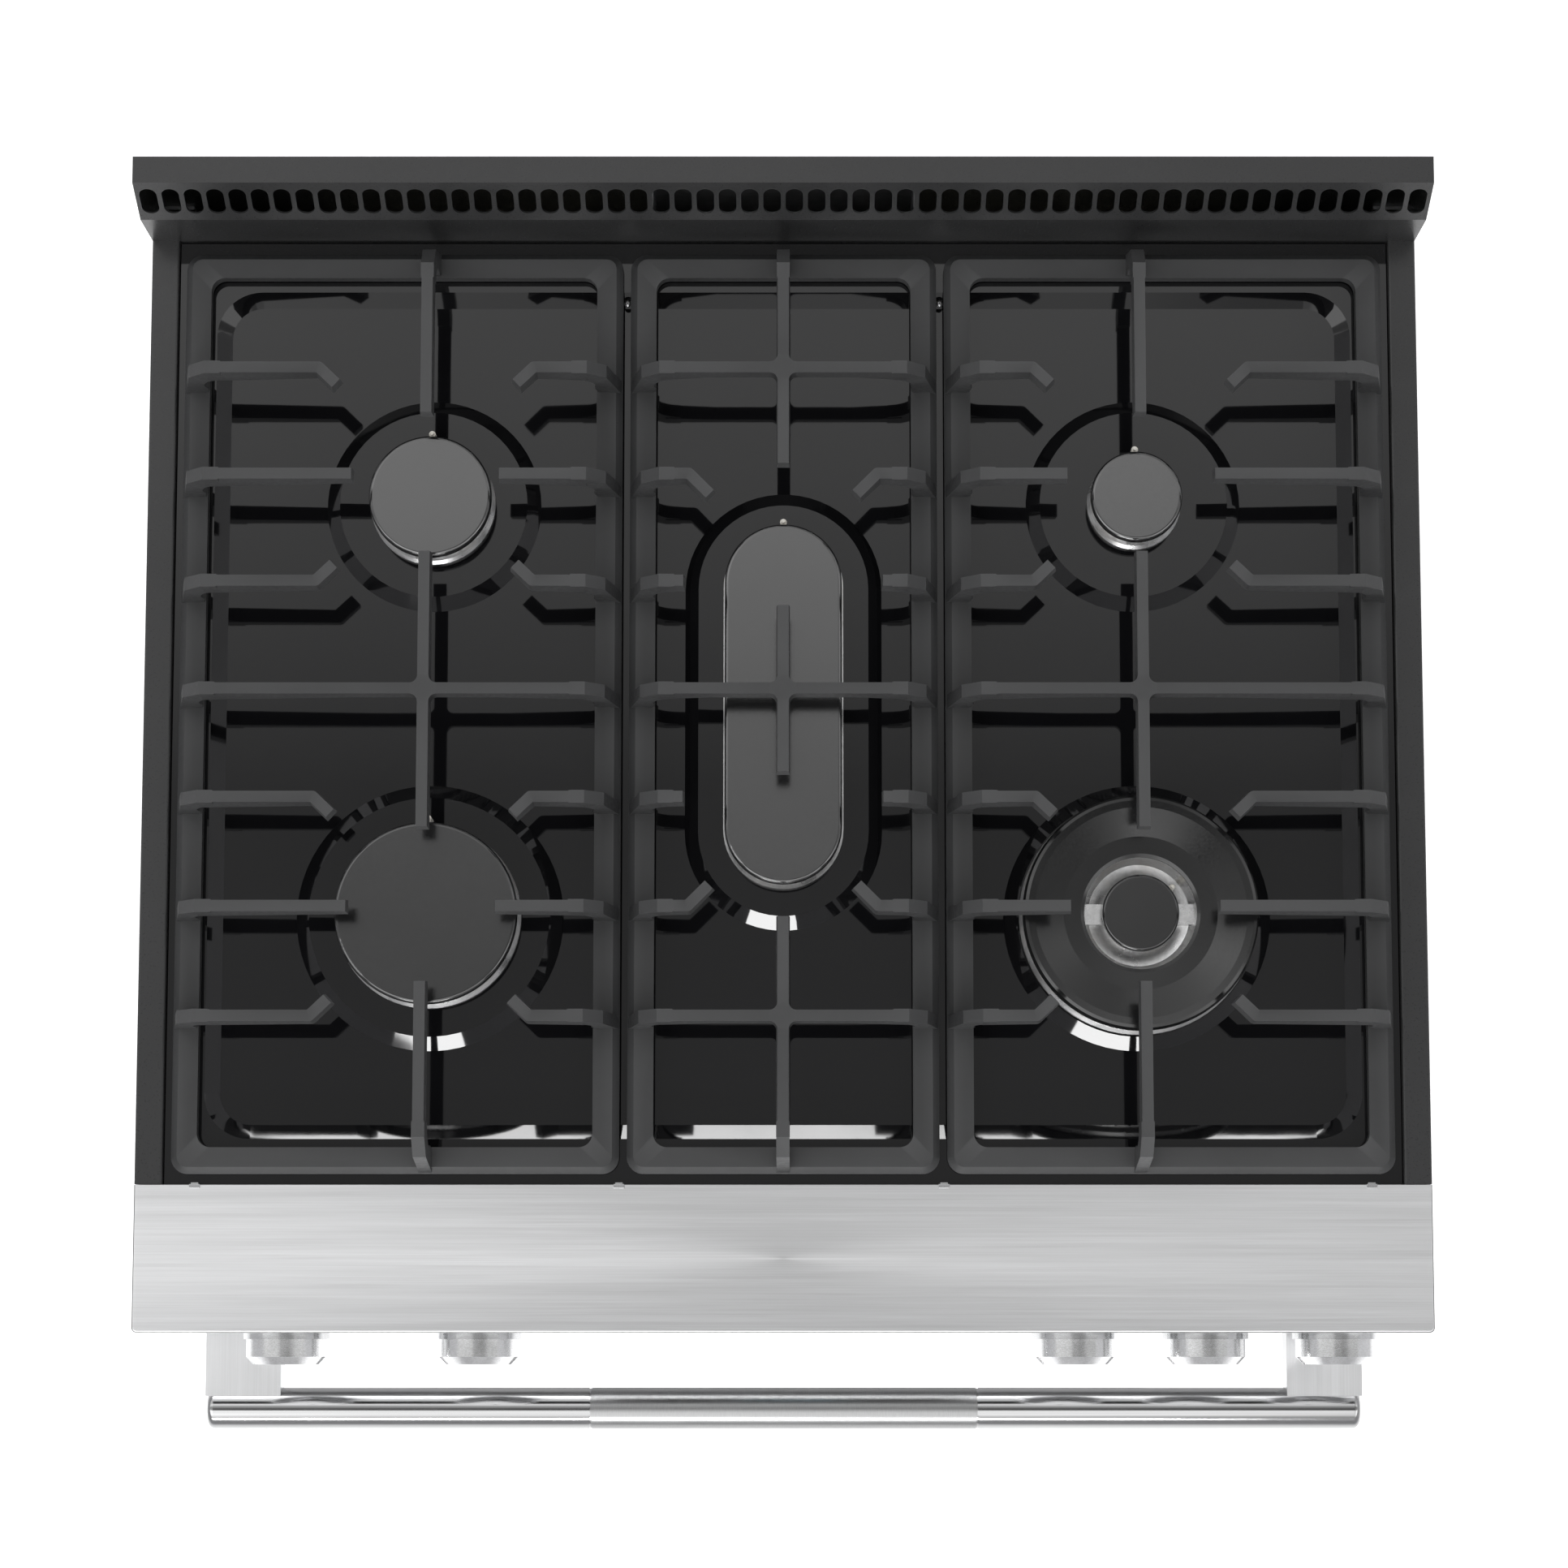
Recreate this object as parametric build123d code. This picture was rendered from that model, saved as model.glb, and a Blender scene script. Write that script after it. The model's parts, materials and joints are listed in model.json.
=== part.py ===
from build123d import *

import os
from math import atan2, cos, degrees, hypot, radians, sin

# A freestanding 30 inch gas range: five sealed burners under three cast-iron grates, a slotted
# backguard, five push-and-turn knobs, an oven with a drop-down door, and a storage drawer.
#
# Millimetres. +X is the user's right, +Y runs from front to back, +Z is up. The origin is on the
# floor, below the centre of the overall box, handle included. back(d) is the Y of a plane d behind
# the ledge's front edge.

os.makedirs("parts", exist_ok=True)

# ---------------------------------------------------------------- driving dimensions
WIDTH = 759.0  # body, over the side panels
TOP = 914.0  # height of the side rails and the front ledge
BODY_DEPTH = 682.0  # front edge of the ledge to the rear panel
HANDLE_REACH = 58.0  # front of the handle, ahead of the ledge
SHEET = 1.2  # steel sheet of the casings
PAN_SHEET = 1.5

HALF = WIDTH / 2
LEDGE_Y = HANDLE_REACH - (BODY_DEPTH + HANDLE_REACH) / 2


def back(distance):
    """Y of a plane this far behind the front edge of the ledge."""
    return LEDGE_Y + distance


REAR = back(BODY_DEPTH)

# Fronts, from the ledge down. Distances are behind the ledge's front edge.
LEDGE_DEPTH, LEDGE_HEIGHT = 86.4, 22.0
RAIL_WIDTH = 16.5
PANEL_AT = 20.0
PANEL_TOP = TOP - LEDGE_HEIGHT
PANEL_BOTTOM = PANEL_TOP - 80.0
DOOR_AT, DOOR_RETURN, DOOR_PLUG = 12.0, 42.0, 55.0  # outer skin, edge of its returns, raised inner face
DOOR_TOP, DOOR_BOTTOM = PANEL_BOTTOM - 4.0, 236.0
DOOR_HALF = HALF - 2.0
FRAME_AT, FRAME_SHEET = 60.0, 2.0
DRAWER_TOP, DRAWER_BOTTOM = DOOR_BOTTOM - 7.0, 99.0
BODY_BOTTOM = 34.0

# Cooktop pan: a flat rim round a recessed well, with a low boss under each burner
RIM_Z = TOP - 4.0
WELL_Z = TOP - 10.0
BOSS_Z = TOP - 4.0
PAN_HALF = HALF - RAIL_WIDTH - 0.5
PAN_FRONT, PAN_BACK = back(LEDGE_DEPTH), back(652.0)
WELL_FRONT, WELL_BACK = back(113.0), back(622.0)
WELL_HALF = 340.0
WELL_CORNER = 27.0
WELL_SLOPE = 8.5
BOSS_SLOPE = 8.0

# Backguard
GUARD_AT = 653.0
GUARD_SLOPE = 13.3
GUARD_LIP_Z, GUARD_TOP_Z = TOP + 41.5, TOP + 71.0
SLOT_COUNT, SLOT_PITCH, SLOT_WIDTH, SLOT_LENGTH = 58, 13.05, 10.2, 21.0
DUCT_HALF, DUCT_BOTTOM, DUCT_ROOF = 78.0, 690.0, 712.0

# Burner layout, and the radius of each round cap
MID_Y = back(368.0)
BURNER_X, BURNER_Y = 209.0, 124.0
LEFT_FRONT = (-BURNER_X, MID_Y - BURNER_Y)
LEFT_REAR = (-BURNER_X, MID_Y + BURNER_Y)
RIGHT_FRONT = (BURNER_X, MID_Y - BURNER_Y)
RIGHT_REAR = (BURNER_X, MID_Y + BURNER_Y)
CENTRE = (0.0, MID_Y)
CAP_LF, CAP_LR, CAP_RR = 53.5, 36.25, 27.0
OVAL_WIDTH, OVAL_LENGTH = 69.0, 214.0
RING_OUTER, RING_INNER, RING_CENTRE = 69.0, 33.0, 22.5
SMALL_BOSS, LARGE_BOSS = 64.0, 79.0
OVAL_BOSS_WIDTH, OVAL_BOSS_LENGTH = 117.0, 263.0
NECKS = {LEFT_REAR: 24.0, RIGHT_REAR: 17.0, LEFT_FRONT: 38.0, RIGHT_FRONT: 50.0}
OVAL_NECK_WIDTH, OVAL_NECK_LENGTH = 44.0, 186.0
NECK_COLLAR = 4.0
HEAD_FLANGE, HEAD_HEIGHT = 5.0, 18.0  # above the boss
HEAD_BOTTOM = TOP - 26.0
CAP_THICK = 6.0
SPIGOT = 3.0
LIFT_GAP = 0.3  # between a cap's spigot and its seat

# Grates
GRATE_TOP = TOP + 50.0
FRAME_FOOT, FRAME_TOP = RIM_Z + 1.5, TOP + 5.0
FRAME_BAR, FRAME_CORNER, FRAME_BEVEL = 15.5, 10.0, 4.0
BAR_FOOT, BAR_DRAFT, BAR_DEPTH, TIP_DEPTH = 8.8, 4.0, 16.0, 9.5
LEG_WIDTH, LEG_CHAMFER, LEG_INSET = 7.6, 11.0, 8.0
CROSS_FILLET = 3.5
PITCH = 63.5
GRID_Y = MID_Y + 3.5  # middle row of fingers
ROWS = [GRID_Y + PITCH * i for i in (-3, -2, -1, 0, 1, 2, 3)]
GRATE_HALF_Y = 275.8
SIDE_INNER, SIDE_OUTER, CENTRE_HALF = 96.0, 358.0, 91.5
FINGER_GAP = 42.0
END_INSET = LEG_INSET + LEG_CHAMFER  # frame edge to where a finger's top starts
BEND_OUT, BEND_TIP, BEND_RISE = 63.0, 52.0, 10.5
SIDE_CROSS, CENTRE_CROSS = 82.0, 50.0  # half lengths of the bars through the middle row
STUB_TIP, HOOK_OUT, HOOK_TIP, HOOK_RISE = 57.0, 55.0, 42.0, 13.0
SPINE_TIP = 132.0

# Knobs, valves and gas pipes
KNOB_X = {"lr": -297.0, "lf": -182.0, "c": 174.0, "rf": 252.0, "rr": 330.0}
KNOB_Z = PANEL_BOTTOM + 42.0
KNOB_R, KNOB_FRONT, KNOB_BACK = 24.0, -18.5, 15.5
KNOB_TRAVEL = 3.0
BEZEL_R, BEZEL_BORE, BEZEL_FRONT = 25.75, 24.6, -3.5
STEM_R, STEM_FLAT, STEM_FRONT, STEM_BACK = 3.0, 2.2, -7.0, 46.0
SHAFT_GAP = 0.05
MANIFOLD_R, MANIFOLD_AT = 9.5, 76.0
FEED_R, FEED_Z, FEED_BEND = 3.0, HEAD_BOTTOM - 10.0, 5.0
DISPLAY_HALF, DISPLAY_HEIGHT = 112.0, 44.0

# Services at the rear
GAS_X, GAS_Z, INLET_R = 250.0, 110.0, 10.65
POWER_X, POWER_Z = -250.0, 110.0

# Handle
HANDLE_R, HANDLE_WALL, HANDLE_HALF = 12.5, 2.0, 353.0
HANDLE_AT = -HANDLE_REACH + HANDLE_R
HANDLE_Z = DOOR_TOP - 22.0
GRIP_HALF = 118.5
BRACKET_X, BRACKET_W, BRACKET_H = 331.0, 46.0, 20.0

# Oven
CAVITY_HALF = 300.0
LINER_BOTTOM, CAVITY_FLOOR, CAVITY_ROOF = 272.0, 320.0, 740.0
CAVITY_DEPTH, WOOL = 530.0, 28.0
LINER_FRONT = FRAME_AT + FRAME_SHEET
LAMP_X, LAMP_Z, LAMP_R = 200.0, 640.0, 16.0
RACK_LEVELS = (380.0, 435.0, 490.0, 545.0, 600.0, 655.0)
RACK_HALF, RACK_FRONT, RACK_BACK = 288.0, 85.0, 522.0
RACK_R, GUIDE_R, WIRE_R = 3.0, 3.0, 1.8

# Door hinges
HINGE_AT, HINGE_Z = 27.0, DOOR_BOTTOM + 25.0
HINGE_X, HINGE_SLOT, PIN_R = 345.0, 10.0, 4.0
WINDOW_HALF, WINDOW_BOTTOM, WINDOW_TOP, PANE = 235.0, 400.0, 680.0, 4.0

# Storage drawer
DRAWER_X, DRAWER_DEPTH = 335.0, 540.0

# Levelling feet
FOOT_X, FOOT_FRONT, FOOT_BACK = 345.0, 95.0, 645.0
FOOT_R, FOOT_STEM = 19.0, 5.0


# ---------------------------------------------------------------- helpers
def block(x0, x1, y0, y1, z0, z1):
    """An upright box between two corners."""
    return Pos((x0 + x1) / 2, (y0 + y1) / 2, (z0 + z1) / 2) * Box(x1 - x0, y1 - y0, z1 - z0)


def casing(x, near, far, z0, z1):
    """A box of half-width x, between two distances behind the ledge's edge."""
    return block(-x, x, back(near), back(far), z0, z1)


def casing_at(x, half, near, far, z0, z1):
    return Pos(x, 0, 0) * casing(half, near, far, z0, z1)


def prism_x(outline, x0, x1):
    """An outline of (distance, z) points, extruded along X."""
    face = make_face(Polyline(*[(x0, back(d), z) for d, z in outline], close=True))
    return extrude(face, amount=x1 - x0, dir=(1, 0, 0))


def prism_y(outline, near, far):
    """An outline of (x, z) points, extruded along Y."""
    face = make_face(Polyline(*[(x, back(near), z) for x, z in outline], close=True))
    return extrude(face, amount=far - near, dir=(0, 1, 0))


def rod(x, y, z0, z1, r):
    """An upright cylinder."""
    return Pos(x, y, (z0 + z1) / 2) * Cylinder(r, z1 - z0)


def rod_y(x, z, near, far, r):
    """A cylinder along Y, between two distances behind the ledge's edge."""
    return Pos(x, back((near + far) / 2), z) * Rot(90, 0, 0) * Cylinder(r, far - near)


def rod_x(d, z, x0, x1, r):
    """A cylinder along X."""
    return Pos((x0 + x1) / 2, back(d), z) * Rot(0, 90, 0) * Cylinder(r, x1 - x0)


def plate(width, depth, corner, x, y, z0, z1):
    """A plate with rounded corners, centred on x, y."""
    return extrude(Pos(x, y, z0) * RectangleRounded(width, depth, corner), amount=z1 - z0)


def oval(width, length, x, y, z0, z1):
    """An upright prism with a slot-shaped outline, its long side along Y."""
    return extrude(Pos(x, y, z0) * SlotOverall(length, width, rotation=90), amount=z1 - z0)


def pipe(r, bend, *points):
    """A round bar along straight runs joined by bends."""
    path = FilletPolyline(*points, radius=bend)
    return sweep((path ^ 0) * Circle(r), path=path)


def turned(outline, x, y, z):
    """An outline of (radius, height) points, turned about an upright axis."""
    face = make_face(Polyline(*[(r, 0, h) for r, h in outline], close=True))
    return Pos(x, y, z) * revolve(face, axis=Axis.Z)


def mirrored(solid):
    return mirror(solid, about=Plane.YZ)


def save(name, *pieces):
    """Writes one node from one or more pieces."""
    solids = [solid for piece in pieces for solid in piece.solids()]
    export_step(Compound(children=solids) if len(solids) > 1 else solids[0], f"parts/{name}.step")


# ---------------------------------------------------------------- body
def base_frame():
    """Bottom pan, front frame with its three openings, and two rear posts."""
    floor = casing(HALF - SHEET, FRAME_AT, BODY_DEPTH - SHEET, BODY_BOTTOM, BODY_BOTTOM + FRAME_SHEET)
    front = casing(HALF - SHEET, FRAME_AT, LINER_FRONT, BODY_BOTTOM, PANEL_TOP)
    front -= casing(CAVITY_HALF, FRAME_AT, LINER_FRONT, CAVITY_FLOOR, CAVITY_ROOF)
    front -= casing(HALF - 22, FRAME_AT, LINER_FRONT, DRAWER_BOTTOM, DRAWER_TOP)
    front -= casing(HALF - 14, FRAME_AT, LINER_FRONT, PANEL_BOTTOM + 6, PANEL_TOP - 4)
    post = block(HALF - SHEET - 20, HALF - SHEET, REAR - SHEET - 20, REAR - SHEET, BODY_BOTTOM, PANEL_TOP)
    post -= block(HALF - 30, HALF - SHEET - 2, REAR - 30, REAR - SHEET - 2, BODY_BOTTOM, PANEL_TOP)
    frame = floor + front + post + mirrored(post)
    for side in (-1, 1):
        frame -= hinge_pocket(side)
        for d in (FOOT_FRONT, FOOT_BACK):
            nut = rod(side * FOOT_X, back(d), BODY_BOTTOM, BODY_BOTTOM + 14, 11)
            frame = frame + nut - rod(side * FOOT_X, back(d), 0, BODY_BOTTOM + 20, FOOT_STEM + SHAFT_GAP)
    return frame


def side_panels():
    """Plates that step back beside the door, with a return flange on the front edge."""
    panel = block(HALF - SHEET, HALF, back(FRAME_AT - SHEET), REAR, BODY_BOTTOM, PANEL_TOP)
    panel += block(HALF - SHEET, HALF, back(PANEL_AT), back(FRAME_AT), PANEL_BOTTOM, PANEL_TOP)
    panel += block(HALF - 16, HALF, back(FRAME_AT - SHEET), back(FRAME_AT), BODY_BOTTOM, PANEL_BOTTOM)
    return panel, mirrored(panel)


def rear_cover():
    """Rear panel with cooling louvres, and openings for the gas pipe and the power inlet."""
    cover = block(-HALF + SHEET, HALF - SHEET, REAR - SHEET, REAR, BODY_BOTTOM, PANEL_TOP)
    louvre = Box(70, 10, 6)
    columns, rows = (-250, -150, -50, 50, 150, 250), (560, 585, 610, 635)
    cover -= [Pos(x, REAR, z) * louvre for x in columns for z in rows]
    cover -= rod_y(GAS_X, GAS_Z, BODY_DEPTH - 5, BODY_DEPTH + 5, 22)
    cover -= casing_at(POWER_X, 24, BODY_DEPTH - 5, BODY_DEPTH + 5, POWER_Z - 14, POWER_Z + 14)
    return cover


def power_inlet():
    """Appliance inlet with three pins, set in the rear panel."""
    socket = casing_at(POWER_X, 24, BODY_DEPTH - 28, BODY_DEPTH, POWER_Z - 14, POWER_Z + 14)
    socket -= casing_at(POWER_X, 20, BODY_DEPTH - 22, BODY_DEPTH, POWER_Z - 10, POWER_Z + 10)
    for x, z in ((-8, -3), (8, -3), (0, 4)):
        low = POWER_Z + z - 2.5
        socket += casing_at(POWER_X + x, 1, BODY_DEPTH - 23, BODY_DEPTH - 6, low, low + 5)
    return socket


def kick_panel():
    half, near, low, high = HALF - 17, FRAME_AT - 14, BODY_BOTTOM + 2, DRAWER_BOTTOM - 6
    return casing(half, near, FRAME_AT, low, high) - casing(
        half - SHEET, near + SHEET, FRAME_AT, low + SHEET, high - SHEET
    )


def front_ledge():
    """Folded steel ledge in front of the cooktop, open below."""
    ledge = casing(HALF, 0, LEDGE_DEPTH - 0.4, PANEL_TOP, TOP)
    ledge = fillet(ledge.edges().filter_by(Axis.Z).group_by(Axis.Y)[0], 3.0)
    rim = ledge.faces().sort_by(Axis.Z)[-1].edges()
    rim = rim.filter_by(lambda edge: edge.center().Y < back(LEDGE_DEPTH - 2))
    ledge = fillet(rim, 1.2)
    inside = LEDGE_DEPTH - 0.4 - PAN_SHEET
    return ledge - casing(HALF - PAN_SHEET, PAN_SHEET, inside, PANEL_TOP, TOP - PAN_SHEET)


def side_rails():
    """Black rails along the sides of the cooktop, from the ledge to the backguard."""
    rail = block(HALF - RAIL_WIDTH, HALF, back(LEDGE_DEPTH), back(GUARD_AT), PANEL_TOP, TOP)
    rail = fillet(rail.faces().sort_by(Axis.Z)[-1].edges().filter_by(Axis.Y), 1.5)
    near, far = back(LEDGE_DEPTH) + SHEET, back(GUARD_AT) - SHEET
    rail -= block(HALF - RAIL_WIDTH + SHEET, HALF - SHEET, near, far, PANEL_TOP, TOP - SHEET)
    return rail, mirrored(rail)


def control_panel():
    panel = casing(HALF - SHEET, PANEL_AT, FRAME_AT, PANEL_BOTTOM, PANEL_TOP)
    panel -= casing(HALF - 2 * SHEET, PANEL_AT + SHEET, FRAME_AT, PANEL_BOTTOM + SHEET, PANEL_TOP - SHEET)
    panel -= [rod_y(x, KNOB_Z, 0, PANEL_AT + 5, 9) for x in KNOB_X.values()]
    # the valves' gas tubes leave through the top return
    panel -= casing(HALF - 20, PANEL_AT + 22, FRAME_AT, PANEL_TOP - 6, PANEL_TOP)
    return panel - display_block(PANEL_AT - 1, PANEL_AT + 5)


def display_block(near, far):
    return casing(DISPLAY_HALF, near, far, KNOB_Z - DISPLAY_HEIGHT / 2, KNOB_Z + DISPLAY_HEIGHT / 2)


def display_glass():
    return display_block(PANEL_AT - 0.8, PANEL_AT + 2.2)


def control_board():
    """Electronics box behind the display."""
    return casing(DISPLAY_HALF - 8, PANEL_AT + 2.2, FRAME_AT - 8, KNOB_Z - 20, KNOB_Z + 20)


# ---------------------------------------------------------------- cooktop
def well(drop):
    """The recess of the pan, lowered by the thickness of its sheet or not at all."""
    depth, mid = WELL_BACK - WELL_FRONT, (WELL_BACK + WELL_FRONT) / 2
    upper = Pos(0, mid, RIM_Z - drop) * RectangleRounded(2 * WELL_HALF, depth, WELL_CORNER)
    lower = Pos(0, mid, WELL_Z - drop) * RectangleRounded(
        2 * (WELL_HALF - WELL_SLOPE), depth - 2 * WELL_SLOPE, WELL_CORNER - WELL_SLOPE
    )
    return loft([lower, upper])


def round_boss(centre, radius, drop):
    height = BOSS_Z - WELL_Z
    return Pos(centre[0], centre[1], WELL_Z - drop + height / 2) * Cone(radius, radius - BOSS_SLOPE, height)


def oval_boss(drop):
    foot = Pos(*CENTRE, WELL_Z - drop) * SlotOverall(OVAL_BOSS_LENGTH, OVAL_BOSS_WIDTH, rotation=90)
    crown = Pos(*CENTRE, BOSS_Z - drop) * SlotOverall(
        OVAL_BOSS_LENGTH - 2 * BOSS_SLOPE, OVAL_BOSS_WIDTH - 2 * BOSS_SLOPE, rotation=90
    )
    return loft([foot, crown])


def bosses(drop):
    return [
        round_boss(LEFT_REAR, SMALL_BOSS, drop),
        round_boss(RIGHT_REAR, SMALL_BOSS, drop),
        round_boss(LEFT_FRONT, LARGE_BOSS, drop),
        round_boss(RIGHT_FRONT, LARGE_BOSS, drop),
        oval_boss(drop),
    ]


def cooktop_pan():
    rim = block(-PAN_HALF, PAN_HALF, PAN_FRONT, PAN_BACK, RIM_Z - 14, RIM_Z)
    rim -= block(-PAN_HALF + PAN_SHEET, PAN_HALF - PAN_SHEET, PAN_FRONT + PAN_SHEET, PAN_BACK - PAN_SHEET,
                 RIM_Z - 14, RIM_Z - PAN_SHEET)
    pan = rim + well(PAN_SHEET) - well(0)
    pan = pan + bosses(0) - bosses(PAN_SHEET)
    for centre, neck in NECKS.items():
        pan -= rod(*centre, HEAD_BOTTOM, TOP, neck)
    return pan - oval(OVAL_NECK_WIDTH, OVAL_NECK_LENGTH, *CENTRE, HEAD_BOTTOM, TOP)


def head_base(centre):
    """Gas chamber under the pan, with a neck that passes through it."""
    neck = NECKS[centre]
    collar = rod(*centre, HEAD_BOTTOM, BOSS_Z - PAN_SHEET, neck + NECK_COLLAR)
    return collar + rod(*centre, HEAD_BOTTOM, BOSS_Z, neck)


def ports(centre, radius, count, z, reach=9.0, width=1.6, height=5.0):
    """Narrow radial slots through the head's wall, where the flame comes out."""
    slot = Pos(radius, 0, height / 2) * Box(reach, width, height)
    return [Pos(*centre, z) * Rot(0, 0, 360 * i / count) * slot for i in range(count)]


def round_head(centre, cap, count):
    """Flange, ported ring and rim of a single-ring burner, open above for the cap's spigot."""
    head = head_base(centre) + turned(
        [(0, 0), (cap + 1, 0), (cap + 1, 3), (cap - 1, HEAD_FLANGE), (cap - 4, HEAD_FLANGE),
         (cap - 4, 12), (cap - 2, 15), (cap - 2, HEAD_HEIGHT), (0, HEAD_HEIGHT)],
        *centre, BOSS_Z,
    )
    seat = cap - 10
    head -= rod(*centre, BOSS_Z + HEAD_FLANGE, BOSS_Z + HEAD_HEIGHT, seat)
    return head - ports(centre, cap - 4, count, BOSS_Z + 7)


def ring_head():
    """Dual-ring burner: an outer ring, a bright cup inside it, a small centre ring, and two bridges."""
    head = head_base(RIGHT_FRONT) + turned(
        [(0, 0), (RING_OUTER + 1, 0), (RING_OUTER + 1, 3), (RING_OUTER - 1, HEAD_FLANGE),
         (RING_OUTER - 4, HEAD_FLANGE), (RING_OUTER - 4, 12), (RING_OUTER - 2, 15),
         (RING_OUTER - 2, HEAD_HEIGHT),
         (RING_INNER + 1, HEAD_HEIGHT), (RING_INNER - 3, 7), (18, 5), (18, 14), (RING_CENTRE - 3, 16),
         (RING_CENTRE - 3, HEAD_HEIGHT), (0, HEAD_HEIGHT)],
        *RIGHT_FRONT, BOSS_Z,
    )
    bridge = Pos(*RIGHT_FRONT, BOSS_Z + 8) * Box(2 * RING_INNER, 12, 10)
    head += bridge
    head -= rod(*RIGHT_FRONT, BOSS_Z + 10, BOSS_Z + HEAD_HEIGHT, 12)
    trench = rod(*RIGHT_FRONT, BOSS_Z + 12, BOSS_Z + HEAD_HEIGHT, RING_OUTER - 10)
    head -= trench - rod(*RIGHT_FRONT, BOSS_Z + 12, BOSS_Z + HEAD_HEIGHT, RING_INNER + 8)
    return head - ports(RIGHT_FRONT, RING_OUTER - 4, 48, BOSS_Z + 7, reach=8.0, height=4.5)


def oval_head():
    head = oval(OVAL_NECK_WIDTH, OVAL_NECK_LENGTH, *CENTRE, HEAD_BOTTOM, BOSS_Z)
    head += oval(OVAL_NECK_WIDTH + 2 * NECK_COLLAR, OVAL_NECK_LENGTH + 2 * NECK_COLLAR, *CENTRE,
                 HEAD_BOTTOM, BOSS_Z - PAN_SHEET)
    for grow, z0, z1 in ((2.0, 0.0, HEAD_FLANGE), (-8.0, HEAD_FLANGE, 14.0), (-4.0, 14.0, HEAD_HEIGHT)):
        head += oval(OVAL_WIDTH + grow, OVAL_LENGTH + grow, *CENTRE, BOSS_Z + z0, BOSS_Z + z1)
    head -= oval(OVAL_WIDTH - 20, OVAL_LENGTH - 20, *CENTRE, BOSS_Z + HEAD_FLANGE, BOSS_Z + HEAD_HEIGHT)
    straight = (OVAL_LENGTH - OVAL_WIDTH) / 2
    slot = Box(OVAL_WIDTH + 10, 1.6, 5)
    slot -= Box(OVAL_WIDTH - 24, 4, 8)
    rows = [Pos(CENTRE[0], CENTRE[1] + straight * i / 8, BOSS_Z + 9.5) * slot for i in range(-8, 9)]
    return head - rows


def cap_disc(centre, radius):
    """Enamelled iron cap with a rounded edge and a spigot that drops into the head."""
    z = BOSS_Z + HEAD_HEIGHT
    disc = fillet(rod(*centre, z, z + CAP_THICK, radius).edges().sort_by(Axis.Z)[-1], 2.2)
    return disc + rod(*centre, z - SPIGOT, z, radius - 10 - LIFT_GAP)


def cap_oval():
    z = BOSS_Z + HEAD_HEIGHT
    disc = oval(OVAL_WIDTH, OVAL_LENGTH, *CENTRE, z, z + CAP_THICK)
    disc = fillet(disc.faces().sort_by(Axis.Z)[-1].edges(), 2.2)
    spigot = 20 + 2 * LIFT_GAP
    return disc + oval(OVAL_WIDTH - spigot, OVAL_LENGTH - spigot, *CENTRE, z - SPIGOT, z)


def cap_ring():
    """Dished ring, lower towards the middle, with a rib that drops into the head's trench."""
    z = HEAD_HEIGHT
    inner, outer = RING_INNER, RING_OUTER
    return turned(
        [(inner, z), (inner + 8 + LIFT_GAP, z), (inner + 8 + LIFT_GAP, z - SPIGOT),
         (outer - 10 - LIFT_GAP, z - SPIGOT), (outer - 10 - LIFT_GAP, z), (outer, z), (outer, z + 4.5),
         (outer - 1.2, z + 6.6), (outer - 3, z + 7.2), (outer - 7, z + 6.8), (inner + 12, z + 3.4),
         (inner + 2, z + 3.0), (inner, z + 2.0)],
        *RIGHT_FRONT, BOSS_Z,
    )


def cap_centre():
    z = BOSS_Z + HEAD_HEIGHT
    disc = fillet(rod(*RIGHT_FRONT, z, z + 5, RING_CENTRE).edges().sort_by(Axis.Z)[-1], 1.8)
    return disc + rod(*RIGHT_FRONT, z - SPIGOT, z, 12 - LIFT_GAP)


def electrode(x, y, foot, tip, r):
    """A ceramic rod with a thinner wire at its top."""
    return rod(x, y, foot, tip - 3, r) + rod(x, y, tip - 3, tip, r / 2)


def igniters():
    """Ceramic electrodes: one behind each head, and one in the cup of the dual-ring burner."""
    reach = {LEFT_REAR: CAP_LR, RIGHT_REAR: CAP_RR, LEFT_FRONT: CAP_LF, CENTRE: OVAL_LENGTH / 2}
    rods = [electrode(x, y + r + 3.4, BOSS_Z, BOSS_Z + 16, 2.0) for (x, y), r in reach.items()]
    angle, radius = radians(40), 25
    x, y = RIGHT_FRONT[0] + radius * cos(angle), RIGHT_FRONT[1] + radius * sin(angle)
    return rods + [electrode(x, y, BOSS_Z + 6.6, BOSS_Z + 17, 1.6)]


# ---------------------------------------------------------------- backguard and flue
def guard_outline(inset):
    """Section of the guard as (distance, z), moved inwards by the thickness of its sheet."""
    lean = inset * 0.42
    return [
        (GUARD_AT + inset, PANEL_TOP),
        (GUARD_AT + inset, GUARD_LIP_Z - lean),
        (GUARD_AT + GUARD_SLOPE + lean, GUARD_TOP_Z - inset),
        (BODY_DEPTH - inset, GUARD_TOP_Z - inset),
        (BODY_DEPTH - inset, PANEL_TOP),
    ]


def backguard():
    """Folded guard, open below, with a row of slots in its sloping face."""
    guard = prism_x(guard_outline(0), -HALF, HALF)
    guard -= prism_x(guard_outline(SHEET), -HALF + SHEET, HALF - SHEET)
    rise = GUARD_TOP_Z - GUARD_LIP_Z
    slope = Plane(
        origin=(0, back(GUARD_AT + GUARD_SLOPE / 2), (GUARD_LIP_Z + GUARD_TOP_Z) / 2),
        x_dir=(1, 0, 0),
        z_dir=(0, -rise, GUARD_SLOPE),
    )
    slot = extrude(SlotOverall(SLOT_LENGTH, SLOT_WIDTH, rotation=90), amount=4, both=True)
    middle = (SLOT_COUNT - 1) / 2
    return guard - [slope * Pos(SLOT_PITCH * (i - middle), 0, 0) * slot for i in range(SLOT_COUNT)]


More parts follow.
